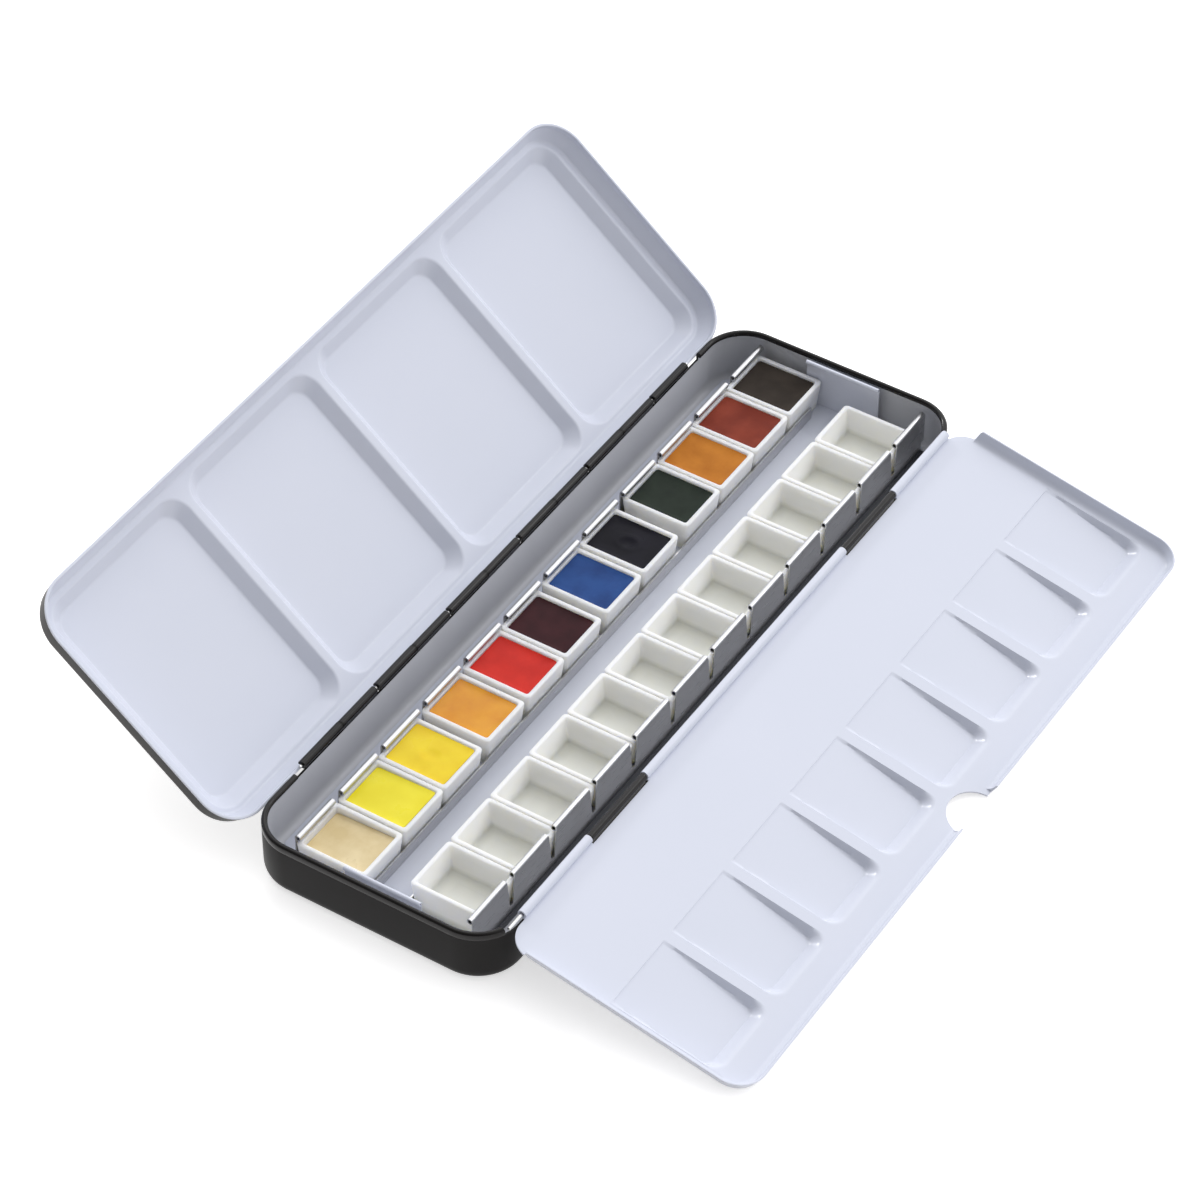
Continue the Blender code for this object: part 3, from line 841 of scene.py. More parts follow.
@dataclass
class Lid:
    """The lid: black outside, white inside, with four mixing wells and six knuckles."""

    axis: Point2 = (34.2, 14.4)
    open_deg: float = 140.4
    length: float = 213.8
    front: float = -69.4
    back: float = 0.6
    rim: float = 1.15
    corner: float = 11.0
    sheet: float = 0.5
    land_depth: float = 5.0
    wall_lean: float = 1.0
    rim_wrap: float = 0.4
    rim_wrap_inset: float = 0.07
    edge_reach: float = 1.7
    inner_foot: float = 2.8
    inner_reach: float = 0.45
    flat_inset: float = 3.3
    hem_depth: float = 1.3
    hem_step: float = 0.25
    well_count: int = 4
    well_pitch: float = 51.6
    well_length: float = 49.2
    well_span: Point2 = (3.6, 65.1)
    well_depth: float = 3.0
    well_run: float = 2.9
    well_growth: float = 0.2
    well_corner: float = 6.0
    crest_reach: float = 0.5
    foot_reach: float = 0.45
    knuckle: float = 0.85
    knuckle_sweep: float = 300.0
    knuckle_root: float = 1.0
    knuckle_sheet: float = 0.46
    knuckle_start: float = -81.6
    knuckle_length: float = 16.1
    knuckle_play: Point2 = (0.9, 0.3)
    knuckle_period: float = 29.9
    knuckle_count: int = 6
    slot_height: float = 1.6

    def place(self) -> Matrix:
        """Return where the closed lid's frame stands when the lid is open."""
        turn = Matrix.Rotation(-math.radians(self.open_deg), 4, "X")
        return Matrix.Translation(Vector((0.0, *self.axis)) * MM) @ turn

    def wall_rings(self, profile: Sequence[Point2]) -> list[Ring]:
        """Return the lid's outline at each inset and height of a profile.

        Args:
            profile: insets from the outline and heights.

        Returns:
            The rings.
        """
        centre = (0.0, (self.front + self.back) / 2)
        half = (self.length / 2, (self.back - self.front) / 2)
        return [
            rounded_ring((half[0] - inset, half[1] - inset), self.corner - inset, z, centre, 16)
            for inset, z in profile
        ]

    def well_rings(self, index: int, land: float, growth: float) -> list[Ring]:
        """Return one well's rings from its crest down to its floor.

        Args:
            index: the well's place along the lid.
            land: the height of the land around it.
            growth: how far its outline is moved out, for the lid's outside.

        Returns:
            The rings.
        """
        centre = ((index - (self.well_count - 1) / 2) * self.well_pitch, -sum(self.well_span) / 2)
        half = (self.well_length / 2, (self.well_span[1] - self.well_span[0]) / 2)
        profile = soften((
            (-self.crest_reach, 0.0, 0.0), (0.0, 0.0, self.crest_reach - growth - 0.05),
            (self.well_run, self.well_depth, self.foot_reach), (self.well_run + 1.4, self.well_depth, 0.0)), 6)
        rings = []
        for place, (inset, depth) in enumerate(profile):
            taken = inset if place == 0 else inset - growth
            size = (half[0] - taken, half[1] - taken)
            rings.append(rounded_ring(size, self.well_corner - 0.6 * taken, land + depth, centre, 12))
        return rings

    def skin(self, name: str, profile: Sequence[Point2], land: float, growth: float) -> bpy.types.Object:
        """Model one side of the lid: its wall, its land and its wells.

        Args:
            name: the skin's name.
            profile: the wall's section.
            land: the height of the land.
            growth: how far the wells' outlines are moved out.

        Returns:
            The skin, open at the rim.
        """
        parts = [lay_skin(name, self.wall_rings(profile))]
        for index in range(self.well_count):
            parts.append(lay_skin(f"{name}_well_{index}", self.well_rings(index, land, growth)))
        skin = join_pieces(name, parts)
        fill_level(skin, land)
        fill_level(skin, land + self.well_depth)
        return skin

    def build(self, finishes: Finishes) -> None:
        """Model the pressing, its slots and its knuckles, and open it.

        Args:
            finishes: the shared finishes.
        """
        land = self.rim + self.land_depth
        top = land + self.sheet
        hem_end = self.rim + self.hem_depth
        hem_inset = self.sheet + self.hem_step
        outside = soften((
            (self.flat_inset, top, 0.0), (self.wall_lean, top, self.edge_reach),
            (self.rim_wrap_inset, self.rim + self.rim_wrap, 0.0)), 8)
        inside = soften((
            (self.rim_wrap_inset, self.rim + self.rim_wrap, 0.0),
            (0.0, self.rim, 0.25), (hem_inset, self.rim, 0.25),
            (hem_inset + 0.02, hem_end, 0.05), (self.sheet + 0.3, hem_end + 0.3, 0.05),
            (self.inner_foot, land, self.inner_reach), (self.flat_inset, land, 0.0)), 8)
        outer = self.skin("lid_outside", outside, top, self.well_growth)
        outer.data.materials.append(finishes.black)
        inner = self.skin("lid_inside", inside, land, 0.0)
        inner.data.materials.append(finishes.white)
        lid = join_pieces("lid_pressing", [outer, inner])
        face_outwards(lid)
        slots = []
        for index in range(self.knuckle_count - 1):
            start = self.knuckle_start + index * self.knuckle_period + self.knuckle_length
            end = self.knuckle_start + (index + 1) * self.knuckle_period
            slots.append(box_tool(
                (start - self.knuckle_play[1], end + self.knuckle_play[0]), (-1.0, self.back + 1.0),
                (0.0, self.slot_height)))
        cut_away(lid, slots)
        finish_piece(lid, Body.LID.value, self.place(), ["lid"])
        self.build_knuckles(finishes)

    def build_knuckles(self, finishes: Finishes) -> None:
        """Roll the lid's knuckles, one strip copied along the hinge.

        Args:
            finishes: the shared finishes.
        """
        wall = self.back - self.sheet / 2
        start = math.degrees(math.acos(wall / self.knuckle))
        path = [(wall, self.rim + self.knuckle_root), (wall, self.rim)]
        path += arc((0.0, 0.0), self.knuckle, start, start - self.knuckle_sweep, 28)
        ends = (self.knuckle_play[0], self.knuckle_length - self.knuckle_play[1])
        roll = bend_strip("lid_knuckle", path, lambda across, z: ends, self.knuckle_sheet)
        for finish in (finishes.rolled_black, finishes.plate, finishes.rolled_black):
            roll.data.materials.append(finish)
        for index in range(self.knuckle_count):
            copy = copy_piece(roll, f"lid_knuckle_{index + 1}")
            along = self.knuckle_start + index * self.knuckle_period
            shift = Matrix.Translation(Vector((along, 0.0, 0.0)) * MM)
            finish_piece(copy, Body.LID.value, self.place() @ shift)
        bpy.data.objects.remove(roll)


@dataclass
class Leaf:
    """The mixing leaf: a white sheet with eight scoops, a flared rim, a thumb notch and three knuckles."""

    axis: Point2 = (-33.45, 14.9)
    slope_deg: float = 11.9
    length: float = 203.4
    span: Point2 = (-0.1, 65.5)
    corner: float = 7.5
    sheet: float = 0.45
    hang: float = 1.1
    rim_height: float = 2.8
    rim_lean: float = 1.1
    rim_rise: Point2 = (6.0, 7.1)
    bend_reach: float = 1.3
    flat_inset: float = 2.9
    notch_gap: Point2 = (-7.4, 8.6)
    notch_radius: float = 7.0
    notch_centre: float = 65.2
    scoop_count: int = 8
    scoop_pitch: float = 25.06
    scoop_half: float = 10.9
    scoop_span: Point2 = (28.3, 57.0)
    scoop_depth: float = 2.3
    scoop_side_run: float = 1.25
    scoop_end_run: float = 3.5
    scoop_corner: float = 4.0
    scoop_floor_corner: float = 2.2
    scoop_lip: float = 0.16
    scoop_crest: float = 0.35
    scoop_margin: float = 0.15
    scoop_grid: tuple[int, int] = (44, 56)
    knuckles: tuple[Point2, ...] = ((-92.4, -64.9), (-41.9, 46.9), (70.4, 96.3))
    slots: tuple[Point2, ...] = ((-64.9, -41.9), (46.9, 70.4))
    slot_depth: float = 1.4
    play: float = 0.3
    knuckle: float = 0.87
    knuckle_tail: Point2 = (1.7, 0.8)
    knuckle_turn: Point2 = (-90.0, 222.0)
    knuckle_sheet: float = 0.45

    def place(self) -> Matrix:
        """Return where the flat leaf's frame stands when the leaf rests in front of the tin."""
        turn = Matrix.Rotation(math.radians(self.slope_deg), 4, "X")
        return Matrix.Translation(Vector((0.0, *self.axis)) * MM) @ turn

    def rim_share(self, v: float) -> float:
        """Return how much of the rim's height stands at this distance from the hinge."""
        low, high = self.rim_rise
        return max(0.0, min(1.0, (v - low) / (high - low)))

    def outline(self) -> list[tuple[Vector, Vector, float]]:
        """Return the leaf's outline as points, inward directions and the share of the rim's height there.

        Returns:
            For each point its place, the way inwards and the share of the rim's height.
        """
        half_x = self.length / 2
        near, far = self.span
        step = 0.12
        points: list[tuple[Vector, Vector, float]] = []
        corners = ((1, near, 0.0), (-1, near, 90.0), (-1, far, 180.0), (1, far, 270.0))
        for x_sign, edge, start_deg in corners:
            middle_v = near + self.corner if edge == near else far - self.corner
            middle = Vector((x_sign * (half_x - self.corner), -middle_v, 0.0))
            for x, y in arc((0.0, 0.0), 1.0, start_deg, start_deg + 90.0, 24):
                spot = middle + Vector((x, y, 0.0)) * self.corner
                points.append((spot, Vector((-x, -y, 0.0)), self.rim_share(-spot.y)))
            if start_deg == 180.0:
                for x, share in (
                    (self.notch_gap[0], 1.0), (self.notch_gap[0] + step, 0.0),
                    (self.notch_gap[1] - step, 0.0), (self.notch_gap[1], 1.0),
                ):
                    points.append((Vector((x, -far, 0.0)), Vector((0.0, 1.0, 0.0)), share))
        return points

    def rim_rings(self) -> list[Ring]:
        """Return the rings from under the plate, over the flared rim and back to the top of the plate.

        Returns:
            The rings.
        """
        bottom = -self.hang
        plate = bottom + self.sheet
        top = plate + self.rim_height
        flared = soften((
            (self.flat_inset, bottom, 0.0), (self.rim_lean, bottom, self.bend_reach),
            (0.0, top, 0.1), (self.sheet, top, 0.1),
            (self.rim_lean + self.sheet, plate, self.bend_reach), (self.flat_inset, plate, 0.0)), 6)
        edge = self.rim_lean
        plain = soften((
            (self.flat_inset, bottom, 0.0), (self.flat_inset - 0.5, bottom, 0.2),
            (edge, bottom, 0.1), (edge, plate, 0.1),
            (self.flat_inset - 0.5, plate, 0.2), (self.flat_inset, plate, 0.0)), 6)
        outline = self.outline()
        rings = []
        for high, low in zip(flared, plain):
            ring = []
            for point, inward, share in outline:
                inset = low[0] + (high[0] - low[0]) * share
                z = low[1] + (high[1] - low[1]) * share
                ring.append(point + inward * inset + Vector((0.0, 0.0, z)))
            rings.append(ring)
        return rings

    def scoop_drop(self, x: float, v: float) -> float:
        """Return how deep a scoop is at a place.

        Args:
            x: the place across the scoop, from its middle.
            v: the place across the leaf, from the hinge.

        Returns:
            The depth under the plate, never below nought.
        """
        start, end = self.scoop_span
        if v < start:
            return 0.0
        ramp = self.scoop_lip + self.scoop_depth * (v - start) / (end - self.scoop_end_run - start)
        top = inside_distance((self.scoop_half - abs(x), end - v), self.scoop_corner)
        if top <= 0.0:
            return 0.0
        side_gap = self.scoop_half - self.scoop_side_run - abs(x)
        foot = inside_distance((side_gap, end - self.scoop_end_run - v), self.scoop_floor_corner)
        share = 1.0 if foot >= 0.0 else top / (top - foot)
        crest = self.scoop_crest
        share = share ** 2 / (2 * crest) if share < crest else share - crest / 2
        wall = self.scoop_depth * (share / (1 - crest / 2) + max(foot, 0.0))
        return max(smooth_least(ramp, wall, 0.25), 0.0)

    def scoop_patch(self, index: int, level: float) -> bpy.types.Object:
        """Model one scoop as a pressed patch whose edge lies flat.

        Args:
            index: the scoop's place along the leaf.
            level: the height of the sheet's face around it.

        Returns:
            The patch.
        """
        centre = (index - (self.scoop_count - 1) / 2) * self.scoop_pitch
        wide = self.scoop_half + self.scoop_margin
        start = self.scoop_span[0] - self.scoop_margin
        end = self.scoop_span[1] + self.scoop_margin
        columns, rows = self.scoop_grid
        margin = self.scoop_margin
        across = [self.scoop_half * (2 * step / columns - 1) for step in range(columns + 1)]
        across = [-wide - margin, -wide, *across, wide, wide + margin]
        length = self.scoop_span[1] - self.scoop_span[0]
        down = [self.scoop_span[0] + length * step / rows for step in range(rows + 1)]
        down = [start - margin, start, *down, end, end + margin]
        rings = [
            [Vector((centre + x, -v, level - self.scoop_drop(x, v))) for x in across]
            for v in down
        ]
        return lay_skin(f"scoop_{index}", rings, wrap=False)

    def build(self, finishes: Finishes) -> None:
        """Model the leaf flat, cut its slots and notch, roll its knuckles and set it on its slope.

        Args:
            finishes: the shared finishes.
        """
        bottom = -self.hang
        plate = bottom + self.sheet
        parts = [lay_skin("leaf_pressing", self.rim_rings())]
        for level in (plate, bottom):
            for index in range(self.scoop_count):
                parts.append(self.scoop_patch(index, level))
        leaf = join_pieces("leaf_pressing", parts)
        fill_level(leaf, plate)
        fill_level(leaf, bottom)
        face_outwards(leaf)
        leaf.data.materials.append(finishes.white)
        tools = [
            box_tool((start - self.play, end + self.play), (-self.slot_depth, 1.0), (bottom - 1.0, 1.0))
            for start, end in self.slots
        ]
        bpy.ops.object.select_all(action="DESELECT")
        bpy.ops.mesh.primitive_cylinder_add(
            vertices=64, radius=self.notch_radius * MM, depth=12.0 * MM,
            location=(0.0, -self.notch_centre * MM, 0.0))
        tools.append(bpy.context.object)
        cut_away(leaf, tools)
        finish_piece(leaf, Body.LEAF.value, self.place(), ["mixing_leaf"])
        self.build_knuckles(finishes)

    def build_knuckles(self, finishes: Finishes) -> None:
        """Roll the leaf's three knuckles from the edge of the sheet.

        Args:
            finishes: the shared finishes.
        """
        path = [(-reach, -self.knuckle) for reach in self.knuckle_tail]
        path += arc((0.0, 0.0), self.knuckle, *self.knuckle_turn, 32)
        for index, (start, end) in enumerate(self.knuckles):
            ends = (start + self.play / 2, end - self.play / 2)
            roll = bend_strip(f"leaf_knuckle_{index + 1}", path, lambda across, z: ends, self.knuckle_sheet)
            for finish in (finishes.white, finishes.plate, finishes.white):
                roll.data.materials.append(finish)
            finish_piece(roll, Body.LEAF.value, self.place())


@dataclass
class Tray:
    """The loose tray of bare tin plate: sprung tabs with rolled tops, low lips and two end flaps."""

    span: Point2 = (-99.3, 102.35)
    sheet: float = 0.4
    bottom: float = 1.2
    inner_half: float = 24.15
    outer_half: float = 31.0
    flange: Point2 = (-93.0, 97.0)
    tab_count: int = 12
    tab_start: float = -97.9
    tab_pitch: float = 17.0
    tab_width: float = 13.7
    notch_floor: float = 3.5
    notch_floor_width: float = 1.3
    notch_top: float = 12.9
    curl_z: float = 11.6
    curl: float = 0.8
    tab_sheet: float = 0.3
    curl_sweep: float = 300.0
    lip_y: float = 4.52
    lip_top: float = 5.2
    lip_span: Point2 = (-98.1, 96.4)
    foot_reach: float = 1.2
    foot_level: float = 0.8
    flap_span: Point2 = (-11.2, 9.5)
    flap_tops: Point2 = (12.0, 14.8)
    flap_curls: Point2 = (0.55, 0.55)

    def tab_edges(self, index: int) -> Callable[[float, float], Point2]:
        """Return the function that gives where one tab starts and ends at a height.

        Args:
            index: the tab's place along its row.

        Returns:
            The function.
        """
        start = self.tab_start + index * self.tab_pitch
        gap = self.tab_pitch - self.tab_width
        rise = self.notch_top - self.notch_floor

        def edges(across: float, z: float) -> Point2:
            """Return the tab's start and end at this height.

            Args:
                across: the place across the tray, which the tab's ends don't depend on.
                z: the height.

            Returns:
                The tab's start and end.
            """
            share = max(0.0, min(1.0, (z - self.notch_floor) / rise))
            open_half = (self.notch_floor_width + (gap - self.notch_floor_width) * share) / 2
            left = start if index == 0 else start - gap / 2 + open_half
            right = start + self.tab_width
            if index < self.tab_count - 1:
                right += gap / 2 - open_half
            return left, right

        return edges

    def curled_path(self, face: float, side: int, centre_z: float, radius: float, foot: float) -> list[Point2]:
        """Return the middle line of an upright sheet whose top is rolled over.

        Args:
            face: the place of the sheet's outer face.
            side: +1 or -1, the way the roll turns.
            centre_z: the height of the roll's middle.
            radius: the roll's outer radius.
            foot: the height where the sheet starts.

        Returns:
            The points of the path.
        """
        middle = radius - self.tab_sheet / 2
        centre = (face + side * radius, centre_z)
        first = 180.0 if side > 0 else 0.0
        roll = arc(centre, middle, first, first - side * self.curl_sweep, 18)
        return [(roll[0][0], foot)] + roll

    def build(self, finishes: Finishes) -> None:
        """Model the plate, the tabs, the lips and the flaps, and join them as one sheet.

        Args:
            finishes: the shared finishes.
        """
        foot = self.bottom + self.sheet / 2
        inside_first = (finishes.white, finishes.raw_edge, finishes.plate)
        bare_first = (finishes.plate, finishes.raw_edge, finishes.white)
        back_first = (finishes.plate, finishes.raw_edge, finishes.plate)
        plate = self.build_plate()
        parts = [(plate, inside_first)]
        foot_end = self.tab_start + (self.tab_count - 1) * self.tab_pitch + self.tab_width - self.foot_reach
        for side in (1, -1):
            faces = back_first if side > 0 else bare_first
            path = self.curled_path(side * self.inner_half, -side, self.curl_z, self.curl, self.notch_floor)
            for index in range(self.tab_count):
                parts.append((bend_strip("tab", path, self.tab_edges(index), self.tab_sheet, 4), faces))
            band = [(path[0][0], foot if side > 0 else self.foot_level), (path[0][0], self.notch_floor)]
            parts.append((
                bend_strip("band", band, lambda across, z: (self.tab_start, foot_end), self.tab_sheet), faces))
            lip_middle = self.lip_y + self.sheet / 2
            lip = soften((
                (side * (lip_middle + 1.6), foot + 0.1, 0.0), (side * lip_middle, foot + 0.1, 0.6),
                (side * lip_middle, self.lip_top, 0.0)), 5)
            parts.append((bend_strip("lip", lip, lambda across, z: self.lip_span, self.sheet), bare_first))
        # The front foot is turned out over the tin's floor and coloured dark grey as painted shade of the deep
        # trough
        front = -self.inner_half + self.tab_sheet / 2
        turned = [(front - self.foot_reach, self.foot_level), (front, self.foot_level)]
        parts.append((
            bend_strip("foot", turned, lambda across, z: (self.tab_start, foot_end), self.tab_sheet),
            (finishes.slate,) * 3))
        near_flap = (self.span[0] + self.sheet, self.flap_curls[0], self.flap_tops[0], (finishes.white,) * 3)
        far_flap = (self.span[1], self.flap_curls[1], self.flap_tops[1], inside_first)
        for face, curl, top, faces in (near_flap, far_flap):
            path = self.curled_path(face, -1, top - curl, curl, foot)
            flap = bend_strip("flap", path, lambda across, z: self.flap_span, self.tab_sheet, along="Y")
            parts.append((flap, faces))
        for part, faces in parts:
            for finish in faces:
                part.data.materials.append(finish)
        tray = join_pieces("tray_sheet", [part for part, faces in parts])
        finish_piece(tray, Body.TRAY.value, nodes=["pan_tray"])

    def build_plate(self) -> bpy.types.Object:
        """Model the tray's plate with the flange along its back.

        Returns:
            The plate.
        """
        bpy.ops.object.select_all(action="DESELECT")
        bpy.ops.mesh.primitive_circle_add(vertices=6, fill_type="NGON")
        plate = bpy.context.object
        outline = (
            (self.span[1], self.inner_half), (self.flange[1], self.outer_half),
            (self.flange[0], self.outer_half), (self.span[0], self.inner_half),
            (self.span[0], -self.inner_half), (self.span[1], -self.inner_half),
        )
        for vertex, (x, y) in zip(plate.data.vertices, outline):
            vertex.co = Vector((x, y, self.bottom + self.sheet / 2)) * MM
        apply_modifier(
            plate, "SOLIDIFY", thickness=self.sheet * MM, offset=0.0, material_offset=2, material_offset_rim=1)
        apply_modifier(plate, "BEVEL", width=0.08 * MM, segments=2, limit_method="ANGLE")
        face_outwards(plate)
        return plate


@dataclass(frozen=True)
class CakeLook:
    """One cake of paint: its colours, its gloss and how it dried."""

    colour: str
    shade: str
    roughness: float = 0.4
    gloss: float = 0.22
    level: float = 0.0
    fall: float = 0.0
    swell: float = 0.0
    dimple: float = 0.0
    ripple: float = 0.1


CAKES = (
    CakeLook("#e6d2a2", "#d6be88", 0.3, 0.45, -0.75, -0.35, 0.2),
    CakeLook("#f4e524", "#eedd12", 0.28, 0.3, 0.1, -0.25, 0.25),
    CakeLook("#f7da1f", "#efcc10", 0.28, 0.25, 0.3, 0.0, 0.2, 0.2),
    CakeLook("#e8a01c", "#da8c12", 0.2, 0.3, 0.1, 0.0, 0.2, 0.0, 0.2),
    CakeLook("#d52a1c", "#c22218", 0.36, 0.15, 0.2),
    CakeLook("#3e151b", "#300f14", 0.3, 0.1, 0.1),
    CakeLook("#234c8c", "#1b3d78", 0.42, 0.15, 0.2),
    CakeLook("#110f1b", "#0c0b14", 0.3, 0.1, 0.1, 0.0, 0.0, 0.45, 0.2),
    CakeLook("#202b20", "#182219", 0.48, 0.15, 0.1),
    CakeLook("#c67b22", "#b3691a", 0.5, 0.15, 0.2),
    CakeLook("#8b3722", "#782b1a", 0.52, 0.15, 0.2),
    CakeLook("#352c24", "#2a221b", 0.5, 0.15, 0.1),
)


@dataclass
class Pans:
    """The front row of empty half pans and the back row of half pans that hold paint."""

    count: int = 12
    width: float = 15.7
    span: Point2 = (4.65, 23.7)
    height: float = 8.4
    wall: float = 1.2
    floor: float = 1.3
    draft: Point2 = (0.5, 0.9)
    corner: float = 1.0
    inner_corner: float = 0.6
    edge: float = 0.4
    floor_ring: float = 5.2
    floor_step: float = 0.06
    seat: float = 1.9
    front_start: float = -94.5
    front_gap: float = 0.3
    back_start: float = -98.5
    back_gaps: tuple[float, ...] = (0.5, 0.3, 2.0, 1.2, 0.4, 2.0, 0.8, 3.5, 0.3, 0.3, 0.4)
    cake_gap: float = 0.1
    cake_edge: float = 7.35
    cake_dish: float = 0.35
    cake_waves: float = 1.3
    dimple_reach: float = 0.22
    dimple_lip: tuple[float, float, float] = (0.35, 0.12, 0.3)
    cake_grid: tuple[int, int] = (28, 32)
    crisp_deg: float = 50.0
    cake_crisp_deg: float = 60.0

    @property
    def length(self) -> float:
        """The pan's length across the tin."""
        return self.span[1] - self.span[0]

    def place(self, near_edge: float, row: Row) -> Matrix:
        """Return where a pan stands.

        Args:
            near_edge: the X of the pan's near edge.
            row: the pan's row.

        Returns:
            The pan's place.
        """
        spot = Vector((near_edge + self.width / 2, row.value * sum(self.span) / 2, self.seat)) * MM
        return Matrix.Translation(spot)

    def model_pan(self, finishes: Finishes) -> bpy.types.Object:
        """Model one half pan that stands on its origin.

        Args:
            finishes: the shared finishes.

        Returns:
            The pan.
        """
        half = (self.width / 2, self.length / 2)
        foot = (half[0] - self.draft[0], half[1] - self.draft[1])
        rings = []
        profile = soften((
            (1.5, 0.0, 0.0), (0.0, 0.0, 0.3), (0.0, self.height, self.edge),
            (self.wall, self.height, self.edge), (self.wall, self.floor, 0.5),
            (self.wall + 1.0, self.floor, 0.0)), 4)
        for inset, z in profile:
            share = z / self.height
            size = [foot[axis] + self.draft[axis] * share - inset for axis in (0, 1)]
            inside = min(1.0, inset / self.wall)
            corner = self.corner + (self.inner_corner - self.corner) * inside
            rings.append(rounded_ring((size[0], size[1]), corner, z, steps=6))
        for radius, drop in ((self.floor_ring, 0.0), (self.floor_ring - 0.15, self.floor_step)):
            ring = []
            for point in rings[-1]:
                flat = Vector((point.x, point.y, 0.0)).normalized() * radius
                ring.append(Vector((flat.x, flat.y, self.floor - drop)))
            rings.append(ring)
        pan = lay_skin("half_pan", rings)
        close_ends(pan)
        face_outwards(pan)
        pan.data.materials.append(finishes.plastic)
        return pan

    def cake_height(self, x: float, y: float, look: CakeLook, seed: int) -> float:
        """Return the height of the paint at a place.

        Args:
            x: the place across the pan, from -1 to 1.
            y: the place along the pan, from -1 to 1.
            look: how the cake dried.
            seed: the cake's number, so that each one has its own ripples.

        Returns:
            The height in millimetres.
        """
        reach = math.hypot(x, y)
        edge = max(abs(x), abs(y))
        dish = self.cake_dish * edge ** 6
        bowl = -look.dimple * math.exp(-(reach / self.dimple_reach) ** 2)
        lip_place, lip_reach, lip_share = self.dimple_lip
        bowl += look.dimple * lip_share * math.exp(-((reach - lip_place) / lip_reach) ** 2)
        swell = look.swell * (1.0 - edge ** 2)
        waves = self.cake_waves
        wave = noise.noise(Vector((x * waves + seed * 7.1, y * waves, seed * 3.7))) * look.ripple * 2.0
        return self.cake_edge + look.level + look.fall * y + dish + bowl + swell + wave * (1.0 - edge ** 4)

    def model_cake(self, look: CakeLook, number: int) -> bpy.types.Object:
        """Model one cake of paint in the pan's own frame.

        Args:
            look: how the cake dried.
            number: the cake's number.

        Returns:
            The cake.
        """
        level_share = self.cake_edge / self.height
        half = (
            self.width / 2 - self.wall - self.cake_gap - self.draft[0] * (1 - level_share),
            self.length / 2 - self.wall - self.cake_gap - self.draft[1] * (1 - level_share),
        )
        corner = self.inner_corner
        columns, rows = self.cake_grid
        rings = []
        for row in range(rows + 1):
            line = []
            for column in range(columns + 1):
                x = half[0] * (2 * column / columns - 1)
                y = half[1] * (2 * row / rows - 1)
                over = Vector((max(abs(x) - half[0] + corner, 0.0), max(abs(y) - half[1] + corner, 0.0)))
                if over.length > corner:
                    pull = over - over.normalized() * corner
                    x -= math.copysign(pull.x, x)
                    y -= math.copysign(pull.y, y)
                z = self.cake_height(x / half[0], y / half[1], look, number)
                line.append(Vector((x, y, z)))
            rings.append(line)
        cake = lay_skin(f"paint_{number:02d}", rings, wrap=False)
        select_only([cake])
        bpy.ops.object.mode_set(mode="EDIT")
        bpy.ops.mesh.select_mode(type="VERT")
        bpy.ops.mesh.select_all(action="DESELECT")
        bpy.ops.mesh.select_non_manifold(
            use_wire=False, use_multi_face=False, use_non_contiguous=False, use_verts=False)
        bpy.ops.mesh.extrude_edges_move()
        bpy.ops.object.mode_set(mode="OBJECT")
        base = self.floor + self.cake_gap
        shrink = 1.0 - self.draft[0] * level_share / half[0]
        for vertex in cake.data.vertices:
            if vertex.select:
                vertex.co = Vector((vertex.co.x * shrink, vertex.co.y * shrink, base * MM))
        close_ends(cake)
        face_outwards(cake)
        return cake

    def build(self, finishes: Finishes) -> None:
        """Model one pan, copy it into both rows and fill the back row with paint.

        Args:
            finishes: the shared finishes.
        """
        master = self.model_pan(finishes)
        front_edge = self.front_start
        back_edge = self.back_start
        for index in range(self.count):
            number = f"{index + 1:02d}"
            self.copy_pan(master, f"front_half_pan_{number}", self.place(front_edge, Row.FRONT),
                          f"front_pan_{number}", f"half_pan_front_{number}")
            front_edge += self.width + self.front_gap
            spot = self.place(back_edge, Row.BACK)
            self.copy_pan(master, f"back_half_pan_{number}", spot,
                          f"back_pan_{number}", f"half_pan_back_{number}")
            look = CAKES[index]
            cake = self.model_cake(look, index + 1)
            paint = DriedPaint(
                f"dried_watercolour_{number}", look.colour, look.shade, look.roughness, look.gloss)
            cake.data.materials.append(paint.make())
            finish_piece(
                cake, f"back_pan_{number}", spot, [f"paint_cake_{number}"], self.cake_crisp_deg)
            if index < len(self.back_gaps):
                back_edge += self.width + self.back_gaps[index]
        bpy.data.objects.remove(master)

    def copy_pan(self, master: bpy.types.Object, name: str, spot: Matrix, body: str, node: str) -> None:
        """Copy the modelled pan with its own mesh and stand it in its row."""
        finish_piece(copy_piece(master, name), body, spot, [node], self.crisp_deg)


@dataclass(frozen=True)
class Softbox:
    """One soft light, aimed at the part."""

    name: str
    direction: tuple[float, float, float]
    distance: float
    size: float
    watts: float

    def hang(self) -> None:
        """Hang the light in its place."""
        lamp = bpy.data.lights.new(self.name, "AREA")
        lamp.energy = self.watts
        lamp.shape = "SQUARE"
        lamp.size = self.size * MM
        light = bpy.data.objects.new(self.name, lamp)
        bpy.context.scene.collection.objects.link(light)
        light.location = Vector(self.direction).normalized() * self.distance * MM
        light.rotation_mode = "QUATERNION"
        light.rotation_quaternion = (-light.location).to_track_quat("-Z", "Y")


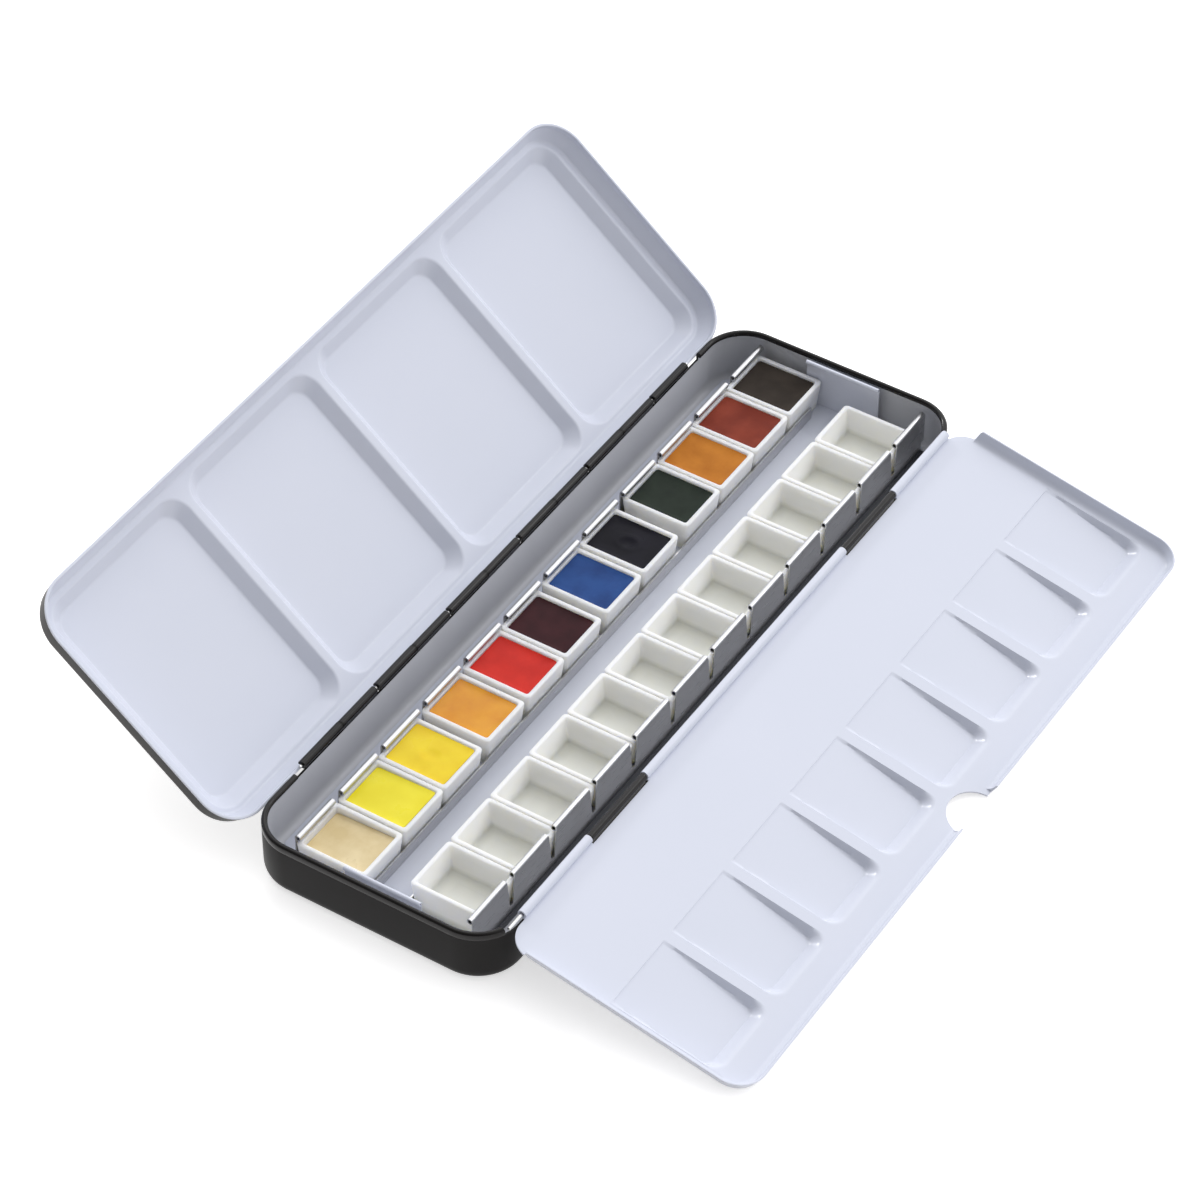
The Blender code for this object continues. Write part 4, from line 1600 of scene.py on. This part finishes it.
@dataclass
class Studio:
    """The pale floor, the soft lights and the camera."""

    camera_place: tuple[float, float, float] = (-658.7, -418.5, 771.5)
    camera_forward: tuple[float, float, float] = (0.6054, 0.3896, -0.6942)
    lens: float = 138.46
    floor_half: float = 6000.0
    floor_glow: float = 0.6
    air_colour: str = "#f9fafd"
    bright_side: tuple[float, float, float] = (1.0, 0.0, 0.07)
    air_levels: Point2 = (0.25, 1.5)
    air_blend: Point2 = (-0.7, 0.7)
    softboxes: tuple[Softbox, ...] = (
        Softbox("back_softbox", (0.3, 0.82, 0.48), 3000.0, 350.0, 17.0),
        Softbox("top_softbox", (0.5, 0.3, 0.8), 2200.0, 1000.0, 3.0),
        Softbox("side_softbox", (0.605, -0.35, 0.715), 2200.0, 280.0, 3.5),
    )

    def build(self) -> None:
        """Set up the floor, the light and the camera."""
        self.build_floor()
        self.build_world()
        for softbox in self.softboxes:
            softbox.hang()
        self.build_camera()
        bpy.context.scene.view_settings.view_transform = "Standard"

    def build_floor(self) -> None:
        """Lay the pale floor, which stays white to the eye and keeps the shadow."""
        bpy.ops.object.select_all(action="DESELECT")
        bpy.ops.mesh.primitive_plane_add(size=2 * self.floor_half * MM)
        floor = bpy.context.object
        floor.name = "studio_floor"
        material, tree, shader = start_material("studio_paper")
        shader.inputs["Base Color"].default_value = linear_colour("#f2f0ee")
        shader.inputs["Roughness"].default_value = 0.9
        shader.inputs["Specular IOR Level"].default_value = 0.0
        rays = add_node(tree, "ShaderNodeLightPath")
        direct = add_node(tree, "ShaderNodeMath", {"operation": "MAXIMUM"}, {
            0: rays.outputs["Is Camera Ray"], 1: rays.outputs["Is Glossy Ray"]})
        seen = add_node(tree, "ShaderNodeMath", {"operation": "MAXIMUM"}, {
            0: direct.outputs["Value"], 1: rays.outputs["Is Transmission Ray"]})
        glow = add_node(tree, "ShaderNodeMath", {"operation": "MULTIPLY"}, {
            0: seen.outputs["Value"], 1: self.floor_glow})
        tree.links.new(glow.outputs["Value"], shader.inputs["Emission Strength"])
        shader.inputs["Emission Color"].default_value = (1.0, 1.0, 1.0, 1.0)
        floor.data.materials.append(material)

    def build_world(self) -> None:
        """Surround the scene with even light that falls off towards the camera's side."""
        world = bpy.data.worlds.new("studio_air")
        bpy.context.scene.world = world
        world.use_nodes = True
        tree = world.node_tree
        background = tree.nodes["Background"]
        background.inputs["Color"].default_value = linear_colour(self.air_colour)
        way = add_node(tree, "ShaderNodeTexCoord")
        side = add_node(tree, "ShaderNodeVectorMath", {"operation": "DOT_PRODUCT"}, {
            0: way.outputs["Generated"], 1: Vector(self.bright_side).normalized()})
        level = add_node(tree, "ShaderNodeMapRange", {"interpolation_type": "SMOOTHSTEP"}, {
            "Value": side.outputs["Value"], "From Min": self.air_blend[0], "From Max": self.air_blend[1],
            "To Min": self.air_levels[0], "To Max": self.air_levels[1]})
        tree.links.new(level.outputs["Result"], background.inputs["Strength"])

    def build_camera(self) -> None:
        """Stand the camera where the photograph was taken from."""
        lens = bpy.data.cameras.new("camera")
        lens.lens = self.lens
        lens.sensor_width = 36.0
        lens.clip_start = 0.01
        camera = bpy.data.objects.new("camera", lens)
        bpy.context.scene.collection.objects.link(camera)
        camera.location = Vector(self.camera_place) * MM
        camera.rotation_mode = "QUATERNION"
        camera.rotation_quaternion = Vector(self.camera_forward).to_track_quat("-Z", "Y")
        bpy.context.scene.camera = camera


def main() -> None:
    """Build every sub-assembly in order."""
    logging.basicConfig(level=logging.INFO, format="%(message)s")
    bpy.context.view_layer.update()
    finishes = Finishes.mix()
    Tin().build(finishes)
    Lid().build(finishes)
    Leaf().build(finishes)
    HingeWires().dress(finishes)
    Tray().build(finishes)
    Pans().build(finishes)
    Studio().build()


if __name__ == "__main__":
    main()
